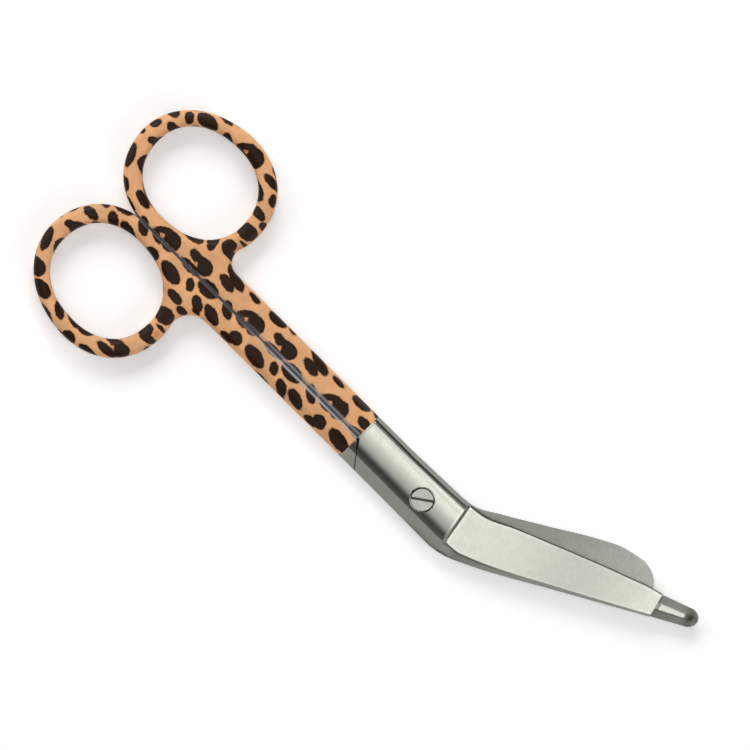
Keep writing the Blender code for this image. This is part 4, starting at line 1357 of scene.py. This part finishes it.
# a flat sheet of paper under everything; its glow is added for camera, glossy and transmission rays only
def makeFloor():
    n = stage["floorGrid"]
    t = np.linspace(-1, 1, n) * stage["floorSize"]
    x, y = np.meshgrid(t, t, indexing="ij")
    points = np.stack([x, y, np.zeros_like(x)], -1).reshape(-1, 3)
    mesh = bpy.data.meshes.new("floor")
    mesh.from_pydata(points.tolist(), [], gridFaces(n, n)[:, ::-1].tolist())
    floor = bpy.data.objects.new("floor", mesh)
    bpy.context.scene.collection.objects.link(floor)
    material, tree, shader = newMaterial("whitePaper", Specular_IOR_Level=0.1, Roughness=0.9)
    shader.inputs["Base Color"].default_value = (*stage["white"], 1)
    shader.inputs["Emission Color"].default_value = (1, 1, 1, 1)
    rays = tree.nodes.new("ShaderNodeLightPath")
    seen = maths(tree, "ADD", rays.outputs["Is Camera Ray"], rays.outputs["Is Glossy Ray"])
    seen = maths(tree, "ADD", seen, rays.outputs["Is Transmission Ray"], clamp=True)
    tree.links.new(maths(tree, "MULTIPLY", seen, stage["glow"]), shader.inputs["Emission Strength"])
    mesh.materials.append(material)
    floor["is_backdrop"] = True


# brightness of the room by height: pale round the horizon, dark above it, so that steel shows both
room = [
    (0.0, 0.95), (0.06, 0.7), (0.16, 0.37), (0.32, 0.15), (0.55, 0.1), (0.92, 0.08), (0.965, 0.38),
    (0.99, 0.6), (1.0, 0.65),
]


def makeWorld():
    world = bpy.data.worlds.new("studio")
    bpy.context.scene.world = world
    world.use_nodes = True
    tree = world.node_tree
    background = tree.nodes["Background"]
    place = tree.nodes.new("ShaderNodeTexCoord")
    parts = tree.nodes.new("ShaderNodeSeparateXYZ")
    tree.links.new(place.outputs["Generated"], parts.inputs[0])
    ramp = tree.nodes.new("ShaderNodeValToRGB")
    steps = ramp.color_ramp.elements
    for i, (position, value) in enumerate(room):
        step = steps[i] if i < 2 else steps.new(position)
        step.position = position
        step.color = (value, value, value, 1)
    tree.links.new(parts.outputs["Z"], ramp.inputs["Fac"])
    tree.links.new(ramp.outputs["Color"], background.inputs["Color"])
    background.inputs["Strength"].default_value = 1.0


# a rectangular lamp of a given radiance that faces the pivot: watts = radiance * pi * area
def addLamp(name, place, size, radiance):
    data = bpy.data.lights.new(name, "AREA")
    data.shape = "RECTANGLE"
    data.size, data.size_y = size
    data.energy = radiance * math.pi * size[0] * size[1]
    lamp = bpy.data.objects.new(name, data)
    bpy.context.scene.collection.objects.link(lamp)
    place = Vector(place)
    lamp.matrix_world = Matrix.Translation(place) @ place.to_track_quat("Z", "Y").to_matrix().to_4x4()
    lamp.visible_camera = False


# places and sizes in metres, and radiance: the key box throws the shadow
lamps = {
    "topBox": ((0.0, 0.0, 1.0), (0.9, 0.2), 1.25),
    "tipSide": ((1.0, 0.0, 0.7), (0.9, 0.8), 2.4),
    "ringSide": ((-1.0, 0.0, 0.7), (0.9, 0.8), 2.4),
    "keyBox": ((-0.72, 0.72, 0.8), (0.6, 0.6), 5.5),
}


# looks straight down, turned so that the shanks run from top left to bottom right
view = {"pixel": 0.18424817, "width": 750, "centre": (-22.33, 10.08), "distance": 2.0, "turn": 45}


def makeCamera():
    data = bpy.data.cameras.new("camera")
    data.sensor_width = 36
    data.lens = data.sensor_width * view["distance"] / (view["width"] * view["pixel"] * mm)
    data.clip_end = 20
    camera = bpy.data.objects.new("camera", data)
    bpy.context.scene.collection.objects.link(camera)
    camera.location = (view["centre"][0] * mm, view["centre"][1] * mm, view["distance"])
    camera.rotation_euler = (0, 0, math.radians(view["turn"]))
    bpy.context.scene.camera = camera


makeFloor()
makeWorld()
for name, (place, size, radiance) in lamps.items():
    addLamp(name, place, size, radiance)
makeCamera()
bpy.context.scene.view_settings.view_transform = "Standard"
print("stage set")

bpy.context.view_layer.update()
sizes = {"cad": cadBox, "visual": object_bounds()}
sizes = {label: [[float(v) for v in corner] for corner in box] for label, box in sizes.items()}
print("sizes", sizes)
